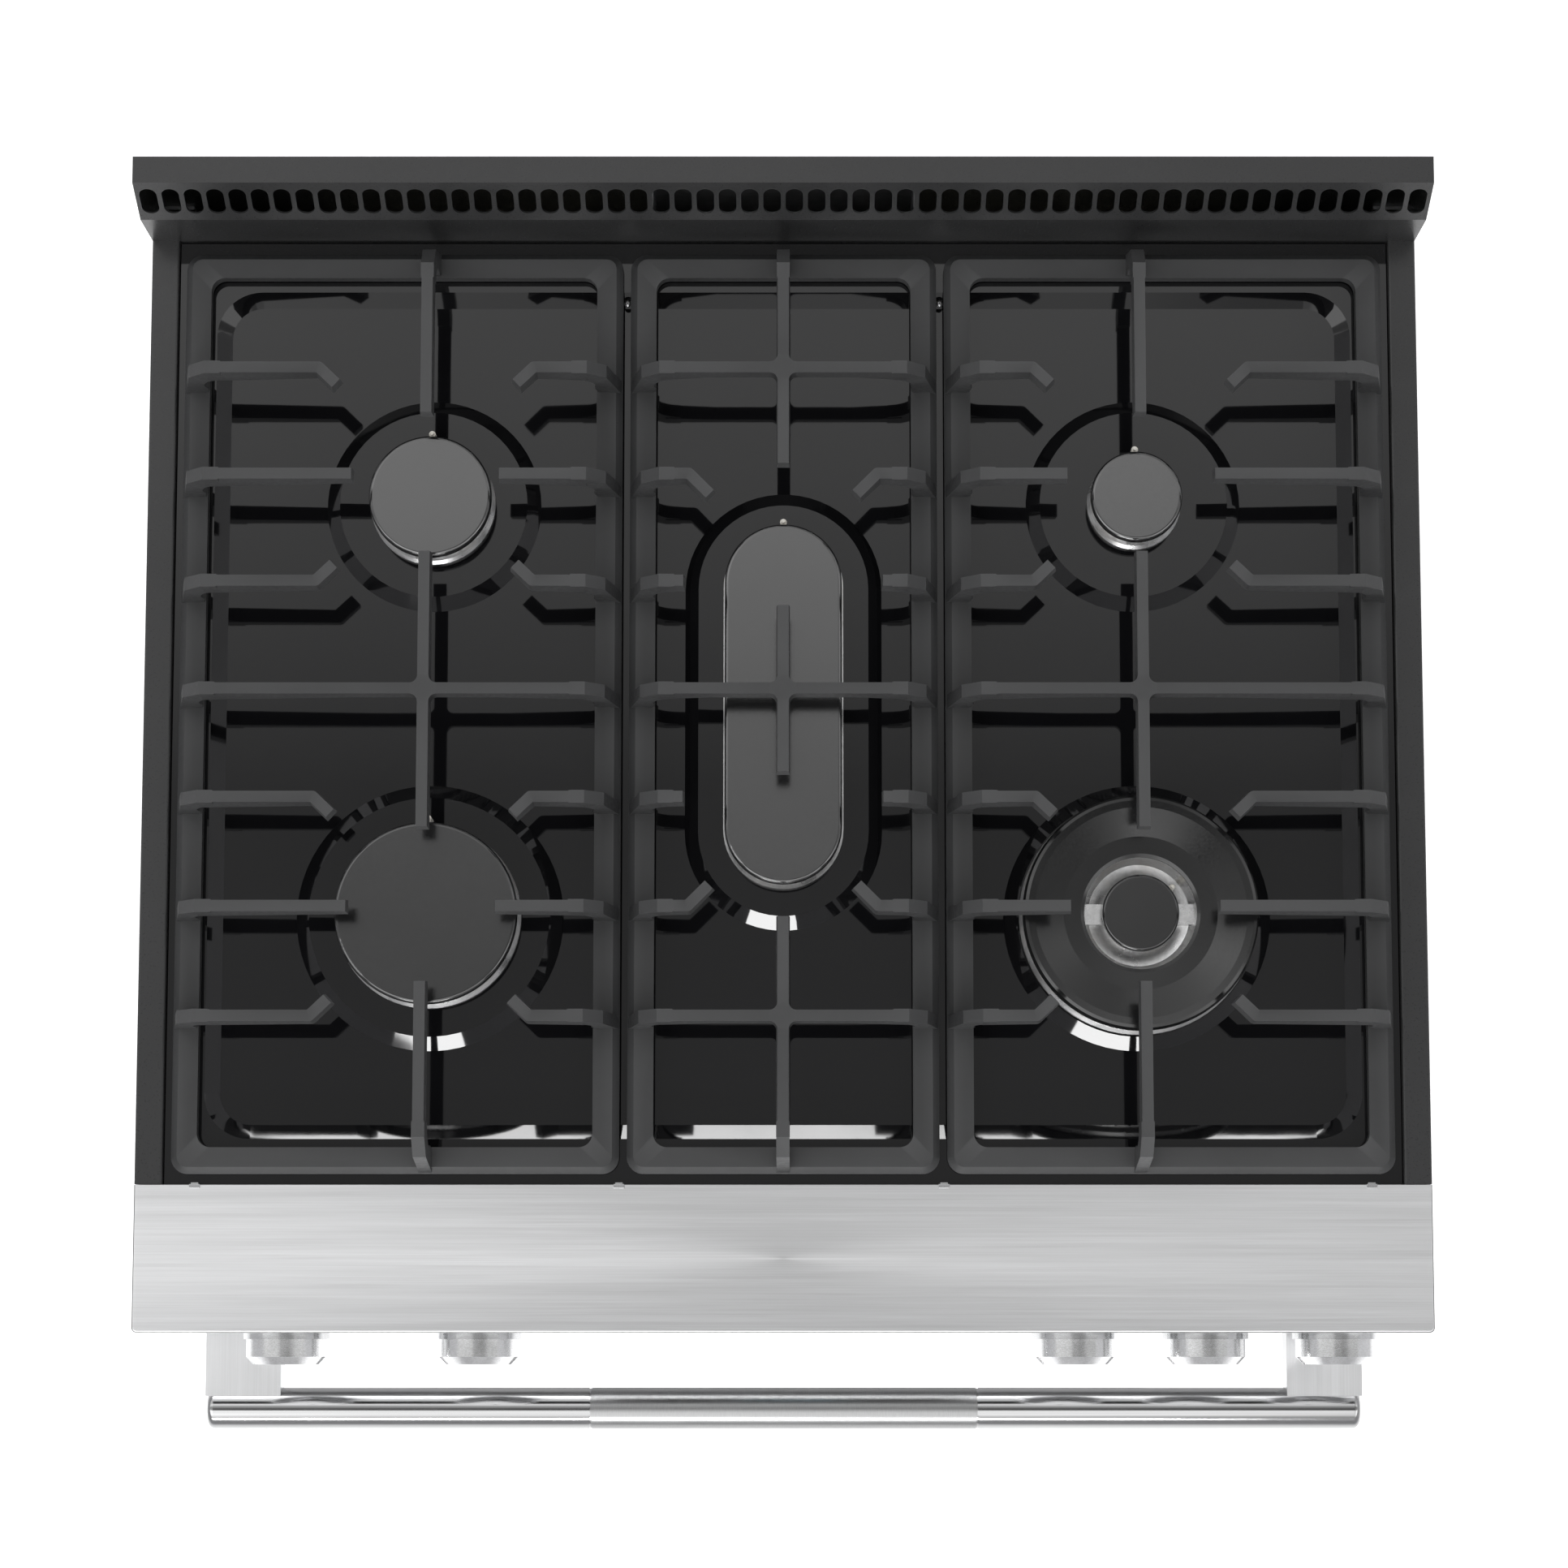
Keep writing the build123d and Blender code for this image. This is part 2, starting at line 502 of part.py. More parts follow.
def flue_duct():
    """Exhaust duct from the back of the oven up to the middle slots of the guard."""
    near, far = GUARD_AT + 3.5, BODY_DEPTH - 2.5
    rise = GUARD_LIP_Z - 4
    duct = casing(DUCT_HALF, near, far, DUCT_BOTTOM, rise)
    duct += casing(DUCT_HALF, CAVITY_DEPTH + SHEET, far, DUCT_BOTTOM, DUCT_ROOF)
    hollow = casing(DUCT_HALF - 1, near + 1, far - 1, DUCT_BOTTOM + 1, rise + 1)
    hollow += casing(DUCT_HALF - 1, CAVITY_DEPTH, far - 1, DUCT_BOTTOM + 1, DUCT_ROOF - 1)
    # the rear wall stands higher than the others, behind the slots
    wall = casing(DUCT_HALF, far - 1, far, DUCT_BOTTOM, GUARD_TOP_Z - 8)
    return duct - hollow + wall


# ---------------------------------------------------------------- grates
def bar_outline(*points):
    """Plan outline of a bar along straight runs, with square ends and round elbows."""
    outline = Sketch()
    for (x0, y0), (x1, y1) in zip(points, points[1:]):
        turn = Rot(0, 0, degrees(atan2(y1 - y0, x1 - x0)))
        length = hypot(x1 - x0, y1 - y0)
        outline += Pos((x0 + x1) / 2, (y0 + y1) / 2) * turn * Rectangle(length, BAR_FOOT)
    for x, y in points[1:-1]:
        outline += Pos(x, y) * Circle(BAR_FOOT / 2)
    return outline


def cross_outline(x, rows, *bars):
    """Bars that cross at x on the given rows, with a fillet in each corner."""
    outline = Sketch()
    for bar in bars:
        outline += bar_outline(*bar)
    corners = [v for v in outline.vertices() for y in rows if hypot(v.X - x, v.Y - y) < BAR_FOOT]
    return fillet(corners, CROSS_FILLET)


def cast_bars(outline):
    """Bars with drafted sides, narrower at the top."""
    return extrude(Pos(0, 0, GRATE_TOP - BAR_DEPTH) * outline, amount=BAR_DEPTH, taper=BAR_DRAFT)


def leg():
    """Blade leg in the XZ plane: its outer foot is at x = 0 and the finger runs towards -x."""
    top, inset = -LEG_INSET - LEG_CHAMFER, -FRAME_BAR
    end, under = top - 9, GRATE_TOP - BAR_DEPTH
    outer = Polyline(
        (inset + 2, 0, FRAME_TOP - 3), (-0.8, 0, FRAME_TOP - 3), (-LEG_INSET, 0, GRATE_TOP - LEG_CHAMFER),
        (top, 0, GRATE_TOP), (end, 0, GRATE_TOP), (end, 0, under + 1),
    )
    inner = ThreePointArc(outer @ 1, (inset - 4, 0, under - 3), (inset - 0.5, 0, FRAME_TOP + 9))
    foot = Line(inner @ 1, outer @ 0)
    return extrude(make_face(outer + inner + foot), amount=LEG_WIDTH / 2, both=True)


def place_leg(x, y, turn):
    return Pos(x, y, 0) * Rot(0, 0, turn) * leg()


def grate_frame(x0, x1):
    width, mid = x1 - x0, (x0 + x1) / 2
    ring = plate(width, 2 * GRATE_HALF_Y, FRAME_CORNER, mid, MID_Y, FRAME_FOOT, FRAME_TOP)
    ring = chamfer(ring.faces().sort_by(Axis.Z)[-1].edges(), FRAME_BEVEL)
    ring -= plate(width - 2 * FRAME_BAR, 2 * (GRATE_HALF_Y - FRAME_BAR), FRAME_CORNER - 2, mid, MID_Y,
                  FRAME_FOOT, FRAME_TOP)
    for x in (x0 + FRAME_BAR / 2, x1 - FRAME_BAR / 2):
        for y in (MID_Y - GRATE_HALF_Y + 40, MID_Y + GRATE_HALF_Y - 40):
            ring += rod(x, y, RIM_Z, FRAME_FOOT, 5)
    return ring


def assemble_grate(x0, x1, axis_x, outlines):
    """Fingers with their undersides thinned towards the burner, legs and frame, as one casting."""
    fingers = [cast_bars(outline) for outline in outlines]
    low, thin = GRATE_TOP - BAR_DEPTH - 1, GRATE_TOP - TIP_DEPTH
    flare = [(x0, low), (axis_x - FINGER_GAP, thin), (axis_x + FINGER_GAP, thin), (x1, low)]
    under = prism_y(flare, 0, BODY_DEPTH)
    grate = grate_frame(x0, x1) + [finger - under for finger in fingers]
    grate += [place_leg(x1, y, 0) for y in ROWS]
    grate += [place_leg(x0, y, 180) for y in ROWS]
    grate += place_leg(axis_x, MID_Y + GRATE_HALF_Y, 90)
    return grate + place_leg(axis_x, MID_Y - GRATE_HALF_Y, -90)


def side_grate(x0, x1, axis_x):
    """Grate over two round burners."""
    ends = {-1: x0 + END_INSET, 1: x1 - END_INSET}
    across = [(ends[-1], GRID_Y), (ends[1], GRID_Y)]
    spine = [(axis_x, GRID_Y - SIDE_CROSS), (axis_x, GRID_Y + SIDE_CROSS)]
    outlines = [cross_outline(axis_x, [GRID_Y], across, spine)]
    for side in (-1, 1):
        end, elbow, tip = ends[side], axis_x + side * BEND_OUT, axis_x + side * BEND_TIP
        for burner in (GRID_Y - 2 * PITCH, GRID_Y + 2 * PITCH):
            outlines.append(bar_outline((end, burner), (axis_x + side * FINGER_GAP, burner)))
            for way in (-1, 1):
                y = burner + way * PITCH
                outlines.append(bar_outline((end, y), (elbow, y), (tip, y - way * BEND_RISE)))
        edge = MID_Y + side * (GRATE_HALF_Y - END_INSET)
        outlines.append(bar_outline((axis_x, edge), (axis_x, MID_Y + side * (BURNER_Y + FINGER_GAP))))
    return assemble_grate(x0, x1, axis_x, outlines)


def centre_grate():
    """Grate over the oval burner."""
    end = CENTRE_HALF - END_INSET
    spine = [(0, GRID_Y - CENTRE_CROSS), (0, GRID_Y + CENTRE_CROSS)]
    outlines = [cross_outline(0, [GRID_Y], [(-end, GRID_Y), (end, GRID_Y)], spine)]
    for way in (-1, 1):
        far, row = MID_Y + way * (GRATE_HALF_Y - END_INSET), GRID_Y + way * 3 * PITCH
        spine = [(0, far), (0, GRID_Y + way * SPINE_TIP)]
        outlines.append(cross_outline(0, [row], spine, [(-end, row), (end, row)]))
        stub, hook = GRID_Y + way * PITCH, GRID_Y + way * 2 * PITCH
        for side in (-1, 1):
            outlines.append(bar_outline((side * end, stub), (side * STUB_TIP, stub)))
            bend = (side * HOOK_TIP, hook - way * HOOK_RISE)
            outlines.append(bar_outline((side * end, hook), (side * HOOK_OUT, hook), bend))
    return assemble_grate(-CENTRE_HALF, CENTRE_HALF, 0, outlines)


# ---------------------------------------------------------------- knobs, valves and gas pipes
def knob(x):
    """Machined knob with a chamfered face, a pointer groove and a D-shaped bore."""
    body = rod_y(x, KNOB_Z, KNOB_FRONT, KNOB_BACK, KNOB_R)
    body = chamfer(body.edges().group_by(Axis.Y)[0], 4.5)
    body = chamfer(body.edges().group_by(Axis.Y)[-1], 0.8)
    body -= rod_y(x, KNOB_Z, 3, KNOB_BACK, KNOB_R - 3) - rod_y(x, KNOB_Z, 3, KNOB_BACK, 7)
    body -= casing_at(x, 0.8, KNOB_FRONT - 1, KNOB_FRONT + 0.8, KNOB_Z + 5, KNOB_Z + KNOB_R - 5)
    shaft, end = STEM_R + SHAFT_GAP, STEM_FRONT - KNOB_TRAVEL - 1
    bore = rod_y(x, KNOB_Z, end, KNOB_BACK, shaft)
    flat = casing_at(x, shaft, end, KNOB_BACK, KNOB_Z + STEM_FLAT + SHAFT_GAP, KNOB_Z + 9)
    return body - (bore - flat)


def stem(x):
    """Valve stem: a D-shaped shaft in front and a round journal in the valve."""
    shaft = rod_y(x, KNOB_Z, STEM_FRONT, STEM_BACK, STEM_R)
    return shaft - casing_at(x, STEM_R, STEM_FRONT - 1, PANEL_AT, KNOB_Z + STEM_FLAT, KNOB_Z + STEM_R + 1)


def knob_bezel(x):
    """Bright ring behind a knob."""
    ring = rod_y(x, KNOB_Z, BEZEL_FRONT, PANEL_AT, BEZEL_R)
    return ring - rod_y(x, KNOB_Z, BEZEL_FRONT, PANEL_AT, BEZEL_BORE)


def knob_bezels():
    return [knob_bezel(x) for x in KNOB_X.values()]


def manifold():
    return rod_x(MANIFOLD_AT, KNOB_Z, -340, 358, MANIFOLD_R)


def burner_valves():
    """Brass valve bodies, each with a bore for its stem and a nipple into the manifold."""
    valves = []
    for x in KNOB_X.values():
        valve = casing_at(x, 12, PANEL_AT + 8, 58, KNOB_Z - 12, KNOB_Z + 12)
        valve += rod_y(x, KNOB_Z, PANEL_AT + SHEET, PANEL_AT + 8, 7.5)
        valve += rod_y(x, KNOB_Z, 58, MANIFOLD_AT, 6)
        valve -= rod_y(x, KNOB_Z, PANEL_AT, STEM_BACK + 1, STEM_R + SHAFT_GAP)
        valves.append(valve - manifold())
    return valves


def gas_manifold():
    """Manifold pipe behind the valves, its run to the rear, the regulator and the threaded inlet."""
    side, rear = 356.0, back(620)
    run = pipe(MANIFOLD_R, 16, (-340, back(MANIFOLD_AT), KNOB_Z), (side, back(MANIFOLD_AT), KNOB_Z),
               (side, rear, KNOB_Z), (side, rear, GAS_Z), (GAS_X, rear, GAS_Z), (GAS_X, back(665), GAS_Z))
    aside = GAS_X + 48
    regulator = rod(aside, rear, GAS_Z - 20, GAS_Z + 20, 27) + rod(aside, rear, GAS_Z, GAS_Z + 34, 14)
    return run + regulator + rod_y(GAS_X, GAS_Z, 652, 678, INLET_R)


def feed_tube(knob_x, x, y):
    """A tube from a valve down to the level of the feeds, back, across, and up to its head."""
    level, start = (knob_x, back(50)), KNOB_Z + 12
    return pipe(FEED_R, FEED_BEND, (*level, start), (*level, FEED_Z), (knob_x, y, FEED_Z), (x, y, FEED_Z),
                (x, y, HEAD_BOTTOM))


def feed_tubes():
    """Tubes from the valves to the burner heads, all on one level below the pan."""
    targets = {"lr": LEFT_REAR, "lf": LEFT_FRONT, "c": CENTRE, "rf": RIGHT_FRONT, "rr": RIGHT_REAR}
    return [feed_tube(KNOB_X[key], *centre) for key, centre in targets.items()]


# ---------------------------------------------------------------- oven
def oven_shell(grow):
    """The oven's inside, grown outwards on every side but the front."""
    low, high = LINER_BOTTOM - grow, CAVITY_ROOF + grow
    return casing(CAVITY_HALF + grow, LINER_FRONT, CAVITY_DEPTH + grow, low, high)


def oven_liner():
    """Enamelled box, open at the front, with the flue opening high in its back wall."""
    flue = casing(DUCT_HALF - 1, CAVITY_DEPTH - 5, CAVITY_DEPTH + 5, DUCT_BOTTOM + 1, DUCT_ROOF - 1)
    return oven_shell(SHEET) - oven_shell(0) - flue


def oven_insulation():
    """Mineral wool blanket over the liner's sides, top, bottom and back."""
    behind = CAVITY_DEPTH + WOOL + 1
    wool = casing(CAVITY_HALF + WOOL + 1, LINER_FRONT, behind - 1, LINER_BOTTOM - 20, CAVITY_ROOF + 30)
    wool -= oven_shell(SHEET) + rod_y(LAMP_X, LAMP_Z, CAVITY_DEPTH, behind, LAMP_R)
    return wool - casing(DUCT_HALF, CAVITY_DEPTH, behind, DUCT_BOTTOM, DUCT_ROOF)


def oven_floor():
    """Lift-out floor plate on two side flanges, with a row of heat slots along each side."""
    floor = casing(CAVITY_HALF - 1, LINER_FRONT + 4, CAVITY_DEPTH - 2, LINER_BOTTOM, CAVITY_FLOOR)
    floor -= casing(CAVITY_HALF - 1 - SHEET, LINER_FRONT, CAVITY_DEPTH, LINER_BOTTOM, CAVITY_FLOOR - SHEET)
    slots = [casing_at(side * 265, 14, d, d + 6, CAVITY_FLOOR - 5, CAVITY_FLOOR + 5)
             for side in (-1, 1) for d in range(100, 500, 30)]
    return floor - slots


def bake_burner():
    """Tube burner under the oven floor, on a front foot."""
    return rod_y(0, 296, 90, CAVITY_DEPTH, 10) + casing(8, 95, 103, LINER_BOTTOM, 292)


def broil_burner():
    """Tube burner below the oven roof, with a heat spreader that hangs on two straps."""
    burner = rod_y(0, 712, 90, CAVITY_DEPTH, 8)
    burner += casing(70, 110, 500, 719, 721)
    for d in (150, 440):
        burner += casing(10, d, d + 3, 719, CAVITY_ROOF)
    return burner


def rack_guides():
    """Wire ladders on the side walls of the oven."""
    rail_x, post_x, posts = CAVITY_HALF - 8, CAVITY_HALF - 3, (110, 480)
    ladder = [rod_x(d, z, rail_x, post_x, 1.5) for d in posts for z in RACK_LEVELS]
    ladder += [rod_y(rail_x, z, 85, 505, GUIDE_R) for z in RACK_LEVELS]
    low, high = RACK_LEVELS[0] - 20, RACK_LEVELS[-1] + 20
    ladder += [rod(post_x, back(d), low, high, GUIDE_R) for d in posts]
    guide = ladder[0] + ladder[1:]
    return guide, mirrored(guide)


def rack(level):
    """Wire oven rack that rides on the guides at one level."""
    z = level + GUIDE_R + RACK_R + 0.3
    half, near, far = RACK_HALF, RACK_FRONT + RACK_R, RACK_BACK - RACK_R
    grid = [rod_y(x, z, near, far, RACK_R) for x in (-half, half)]
    grid += [rod_x(d, z, -half, half, RACK_R) for d in (near, far, 300)]
    grid += [Pos(x, back(d), z) * Sphere(RACK_R) for x in (-half, half) for d in (near, far)]
    grid += [rod_y(x, z + 1.5, near, far, WIRE_R) for x in range(-264, 265, 24)]
    return grid[0] + grid[1:]


def oven_lamp():
    """Lamp holder behind the oven's back wall, and its glass inside the oven."""
    glass = rod_y(LAMP_X, LAMP_Z, CAVITY_DEPTH - 14, CAVITY_DEPTH, 20)
    holder = rod_y(LAMP_X, LAMP_Z, CAVITY_DEPTH + SHEET, CAVITY_DEPTH + 40, LAMP_R)
    return glass, holder


def door_seal():
    """Woven gasket on the front frame, round the oven's mouth."""
    seal = casing(CAVITY_HALF + 12, DOOR_PLUG + 0.5, FRAME_AT, CAVITY_FLOOR - 10, CAVITY_ROOF + 10)
    return seal - casing(CAVITY_HALF + 2, DOOR_PLUG, FRAME_AT, CAVITY_FLOOR, CAVITY_ROOF)


# ---------------------------------------------------------------- door
def hinge_pocket(side):
    """Opening in the body for a hinge receiver."""
    return casing_at(side * HINGE_X, HINGE_SLOT / 2, FRAME_AT - 5, FRAME_AT + 5, HINGE_Z - 8, HINGE_Z + 8)


def hinge_slot(side):
    """Clearance in the door for the receiver's tongue, from the pin back and down."""
    half, behind = HINGE_SLOT / 2 + 1, DOOR_PLUG + 5
    return casing_at(side * HINGE_X, half, HINGE_AT - 12, behind, DOOR_BOTTOM - 5, HINGE_Z + 12)


def door_frame():
    """Outer door: steel skin with returns on four sides and a window opening."""
    door = casing(DOOR_HALF, DOOR_AT, DOOR_RETURN, DOOR_BOTTOM, DOOR_TOP)
    door -= casing(DOOR_HALF - SHEET, DOOR_AT + SHEET, DOOR_RETURN, DOOR_BOTTOM + SHEET, DOOR_TOP - SHEET)
    door -= casing(WINDOW_HALF, DOOR_AT - 1, DOOR_AT + 5, WINDOW_BOTTOM, WINDOW_TOP)
    for side in (-1, 1):
        door -= hinge_slot(side)
    return door


def door_glass():
    """Outer and inner panes."""
    skin, liner = DOOR_AT + SHEET, DOOR_PLUG - SHEET
    outer = casing(WINDOW_HALF + 12, skin, skin + PANE, WINDOW_BOTTOM - 12, WINDOW_TOP + 12)
    inner = casing(WINDOW_HALF + 2, liner - PANE, liner, WINDOW_BOTTOM - 2, WINDOW_TOP + 2)
    return outer, inner


def door_liner():
    """Inner door panel with a raised plug round the inner pane."""
    inner = DOOR_HALF - SHEET
    plug, low, high = inner - 50, HINGE_Z + 28, DOOR_TOP - 20
    liner = casing(inner, DOOR_RETURN - SHEET, DOOR_RETURN, DOOR_BOTTOM + SHEET, DOOR_TOP - SHEET)
    liner += casing(plug, DOOR_RETURN - SHEET, DOOR_PLUG, low, high)
    liner -= casing(plug - SHEET, DOOR_RETURN - 2, DOOR_PLUG - SHEET, low + SHEET, high - SHEET)
    liner -= casing(WINDOW_HALF - 10, DOOR_RETURN, DOOR_PLUG + 1, WINDOW_BOTTOM + 10, WINDOW_TOP - 10)
    for side in (-1, 1):
        liner -= hinge_slot(side)
    return liner


def door_hinges():
    """Door half of each hinge: a clevis with the pivot pin."""
    hinges = []
    for side in (-1, 1):
        x, half = side * HINGE_X, HINGE_SLOT / 2 + 4
        clevis = casing_at(x, half, DOOR_AT + SHEET, DOOR_RETURN - SHEET, HINGE_Z - 12, HINGE_Z + 40)
        clevis -= hinge_slot(side)
        pin = rod_x(HINGE_AT, HINGE_Z, x - half, x + half, PIN_R)
        hinges.append(clevis + pin)
    return hinges


def hinge_receivers():
    """Body half of each hinge: a tongue with an eye for the pin, and its pocket behind the front frame."""
    receivers = []
    for side in (-1, 1):
        x, half = side * HINGE_X, HINGE_SLOT / 2 - 1
        tongue = casing_at(x, half, HINGE_AT, FRAME_AT + 40, HINGE_Z - 7, HINGE_Z + 7)
        tongue += rod_x(HINGE_AT, HINGE_Z, x - half, x + half, 7)
        pocket = casing_at(x, half + 3, LINER_FRONT, FRAME_AT + 45, HINGE_Z - 14, HINGE_Z + 14)
        eye = rod_x(HINGE_AT, HINGE_Z, x - 9, x + 9, PIN_R + SHAFT_GAP)
        receivers.append(tongue + pocket - eye)
    return receivers


def handle_tube():
    """Round tube with softened ends and a fine groove on each side of the grip."""
    tube = rod_x(HANDLE_AT, HANDLE_Z, -HANDLE_HALF, HANDLE_HALF, HANDLE_R)
    tube = fillet(tube.edges().filter_by(GeomType.CIRCLE), 4.0)
    tube -= rod_x(HANDLE_AT, HANDLE_Z, -HANDLE_HALF + 5, HANDLE_HALF - 5, HANDLE_R - HANDLE_WALL)
    for side in (-1, 1):
        x = side * GRIP_HALF
        tube -= rod_x(HANDLE_AT, HANDLE_Z, x - 0.8, x + 0.8, HANDLE_R) - rod_x(
            HANDLE_AT, HANDLE_Z, x - 0.8, x + 0.8, HANDLE_R - 0.5)
    return tube


def handle_brackets():
    """Flat standoffs between the door's skin and the tube."""
    low, high = HANDLE_Z - BRACKET_H / 2, HANDLE_Z + BRACKET_H / 2
    bracket = casing_at(BRACKET_X, BRACKET_W / 2, HANDLE_AT, DOOR_AT, low, high)
    bracket -= rod_x(HANDLE_AT, HANDLE_Z, BRACKET_X - 40, BRACKET_X + 40, HANDLE_R)
    bracket = bracket.solids().sort_by(Axis.Y)[-1]
    return bracket, mirrored(bracket)


# ---------------------------------------------------------------- drawer and feet
def drawer_front():
    """Steel front with returns, and a finger slot in its lower edge."""
    front = casing(DOOR_HALF, DOOR_AT, 40, DRAWER_BOTTOM, DRAWER_TOP)
    front -= casing(DOOR_HALF - SHEET, DOOR_AT + SHEET, 40, DRAWER_BOTTOM + SHEET, DRAWER_TOP - SHEET)
    return front - casing(110, DOOR_AT + 5, 34, DRAWER_BOTTOM - 5, DRAWER_BOTTOM + 5)


def drawer_box():
    """Sheet box, open above, whose front wall closes the back of the drawer's front."""
    z0, z1 = DRAWER_BOTTOM + 6, DRAWER_TOP - 12
    box = casing(DRAWER_X, 40 - SHEET, DRAWER_DEPTH, z0, z1)
    box += casing(DOOR_HALF - SHEET, 40 - SHEET, 40, DRAWER_BOTTOM + SHEET, DRAWER_TOP - SHEET)
    return box - casing(DRAWER_X - SHEET, 40, DRAWER_DEPTH - SHEET, z0 + SHEET, z1)


def drawer_rails():
    """Angle rails that carry the drawer, each on a foot at the front and the rear."""
    x0, x1 = DRAWER_X - 8, DRAWER_X + 4
    rail = block(x0, x1, back(LINER_FRONT), back(600), DRAWER_BOTTOM + 3, DRAWER_BOTTOM + 5.4)
    rail += block(x1 - 2.4, x1, back(LINER_FRONT), back(600), DRAWER_BOTTOM + 3, DRAWER_BOTTOM + 30)
    for d in (LINER_FRONT + 60, 560):
        rail += block(x1 - 2.4, x1, back(d), back(d + 20), BODY_BOTTOM + FRAME_SHEET, DRAWER_BOTTOM + 4)
    return rail, mirrored(rail)


def foot(x, d):
    """Levelling foot: a pad and a stem that screws into the bottom pan."""
    pad = rod(x, back(d), 0, 10, FOOT_R)
    pad = chamfer(pad.edges().sort_by(Axis.Z)[-1], 3)
    return pad + rod(x, back(d), 10, BODY_BOTTOM + 12, FOOT_STEM)


# ---------------------------------------------------------------- write every node
save("base_frame", base_frame())
save("side_panels", *side_panels())
save("rear_cover", rear_cover())
save("power_inlet", power_inlet())
save("kick_panel", kick_panel())
save("front_ledge", front_ledge())
save("side_rails", *side_rails())
save("control_panel", control_panel())
save("oven_control", display_glass(), control_board())
save("cooktop_pan", cooktop_pan())
save("burner_heads", round_head(LEFT_REAR, CAP_LR, 24), round_head(LEFT_FRONT, CAP_LF, 36),
     round_head(RIGHT_REAR, CAP_RR, 18), ring_head(), oval_head())
save("cap_lr", cap_disc(LEFT_REAR, CAP_LR))
save("cap_lf", cap_disc(LEFT_FRONT, CAP_LF))
save("cap_rr", cap_disc(RIGHT_REAR, CAP_RR))
save("cap_c", cap_oval())
save("cap_rf_ring", cap_ring())
save("cap_rf_centre", cap_centre())
save("igniters", *igniters())
save("backguard", backguard())
save("flue_duct", flue_duct())
save("grate_left", side_grate(-SIDE_OUTER, -SIDE_INNER, -BURNER_X))
save("grate_centre", centre_grate())
save("grate_right", side_grate(SIDE_INNER, SIDE_OUTER, BURNER_X))
for key, knob_x in KNOB_X.items():
    save(f"knob_{key}", knob(knob_x))
    save(f"stem_{key}", stem(knob_x))
save("knob_bezels", *knob_bezels())
save("burner_valves", *burner_valves())
save("gas_manifold", gas_manifold())
save("feed_tubes", *feed_tubes())
save("oven_liner", oven_liner())
save("oven_insulation", oven_insulation())
save("oven_floor", oven_floor())
save("oven_burners", bake_burner(), broil_burner())
save("rack_guides", *rack_guides())
save("rack_lower", rack(RACK_LEVELS[1]))
save("rack_upper", rack(RACK_LEVELS[3]))
save("oven_lamp", *oven_lamp())
save("door_seal", door_seal())
save("door_frame", door_frame())
save("door_glass", *door_glass())
save("door_liner", door_liner())
save("door_hinges", *door_hinges())
save("hinge_receivers", *hinge_receivers())
save("handle_tube", handle_tube())
save("handle_brackets", *handle_brackets())
save("drawer_front", drawer_front())
save("drawer_box", drawer_box())
save("drawer_rails", *drawer_rails())
for side_name, foot_x in (("l", -FOOT_X), ("r", FOOT_X)):
    for end_name, foot_d in (("f", FOOT_FRONT), ("r", FOOT_BACK)):
        save(f"foot_{end_name}{side_name}", foot(foot_x, foot_d))
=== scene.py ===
import json
import math
import random

import bmesh
import bpy
from mathutils import Matrix, Vector


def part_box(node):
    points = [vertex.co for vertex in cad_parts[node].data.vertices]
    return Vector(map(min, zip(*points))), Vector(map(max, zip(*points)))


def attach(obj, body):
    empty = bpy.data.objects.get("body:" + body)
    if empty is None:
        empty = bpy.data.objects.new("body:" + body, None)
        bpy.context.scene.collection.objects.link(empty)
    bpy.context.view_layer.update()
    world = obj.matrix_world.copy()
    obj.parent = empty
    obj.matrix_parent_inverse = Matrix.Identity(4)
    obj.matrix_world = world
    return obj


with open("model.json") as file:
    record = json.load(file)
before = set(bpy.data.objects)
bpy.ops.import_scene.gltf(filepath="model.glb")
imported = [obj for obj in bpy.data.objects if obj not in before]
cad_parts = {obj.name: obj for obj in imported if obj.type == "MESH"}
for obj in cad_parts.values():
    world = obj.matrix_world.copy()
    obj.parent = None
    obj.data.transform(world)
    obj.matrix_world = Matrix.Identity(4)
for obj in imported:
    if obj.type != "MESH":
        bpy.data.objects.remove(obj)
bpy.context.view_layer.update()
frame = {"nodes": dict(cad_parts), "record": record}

random.seed(7)
NODES = frame["nodes"]


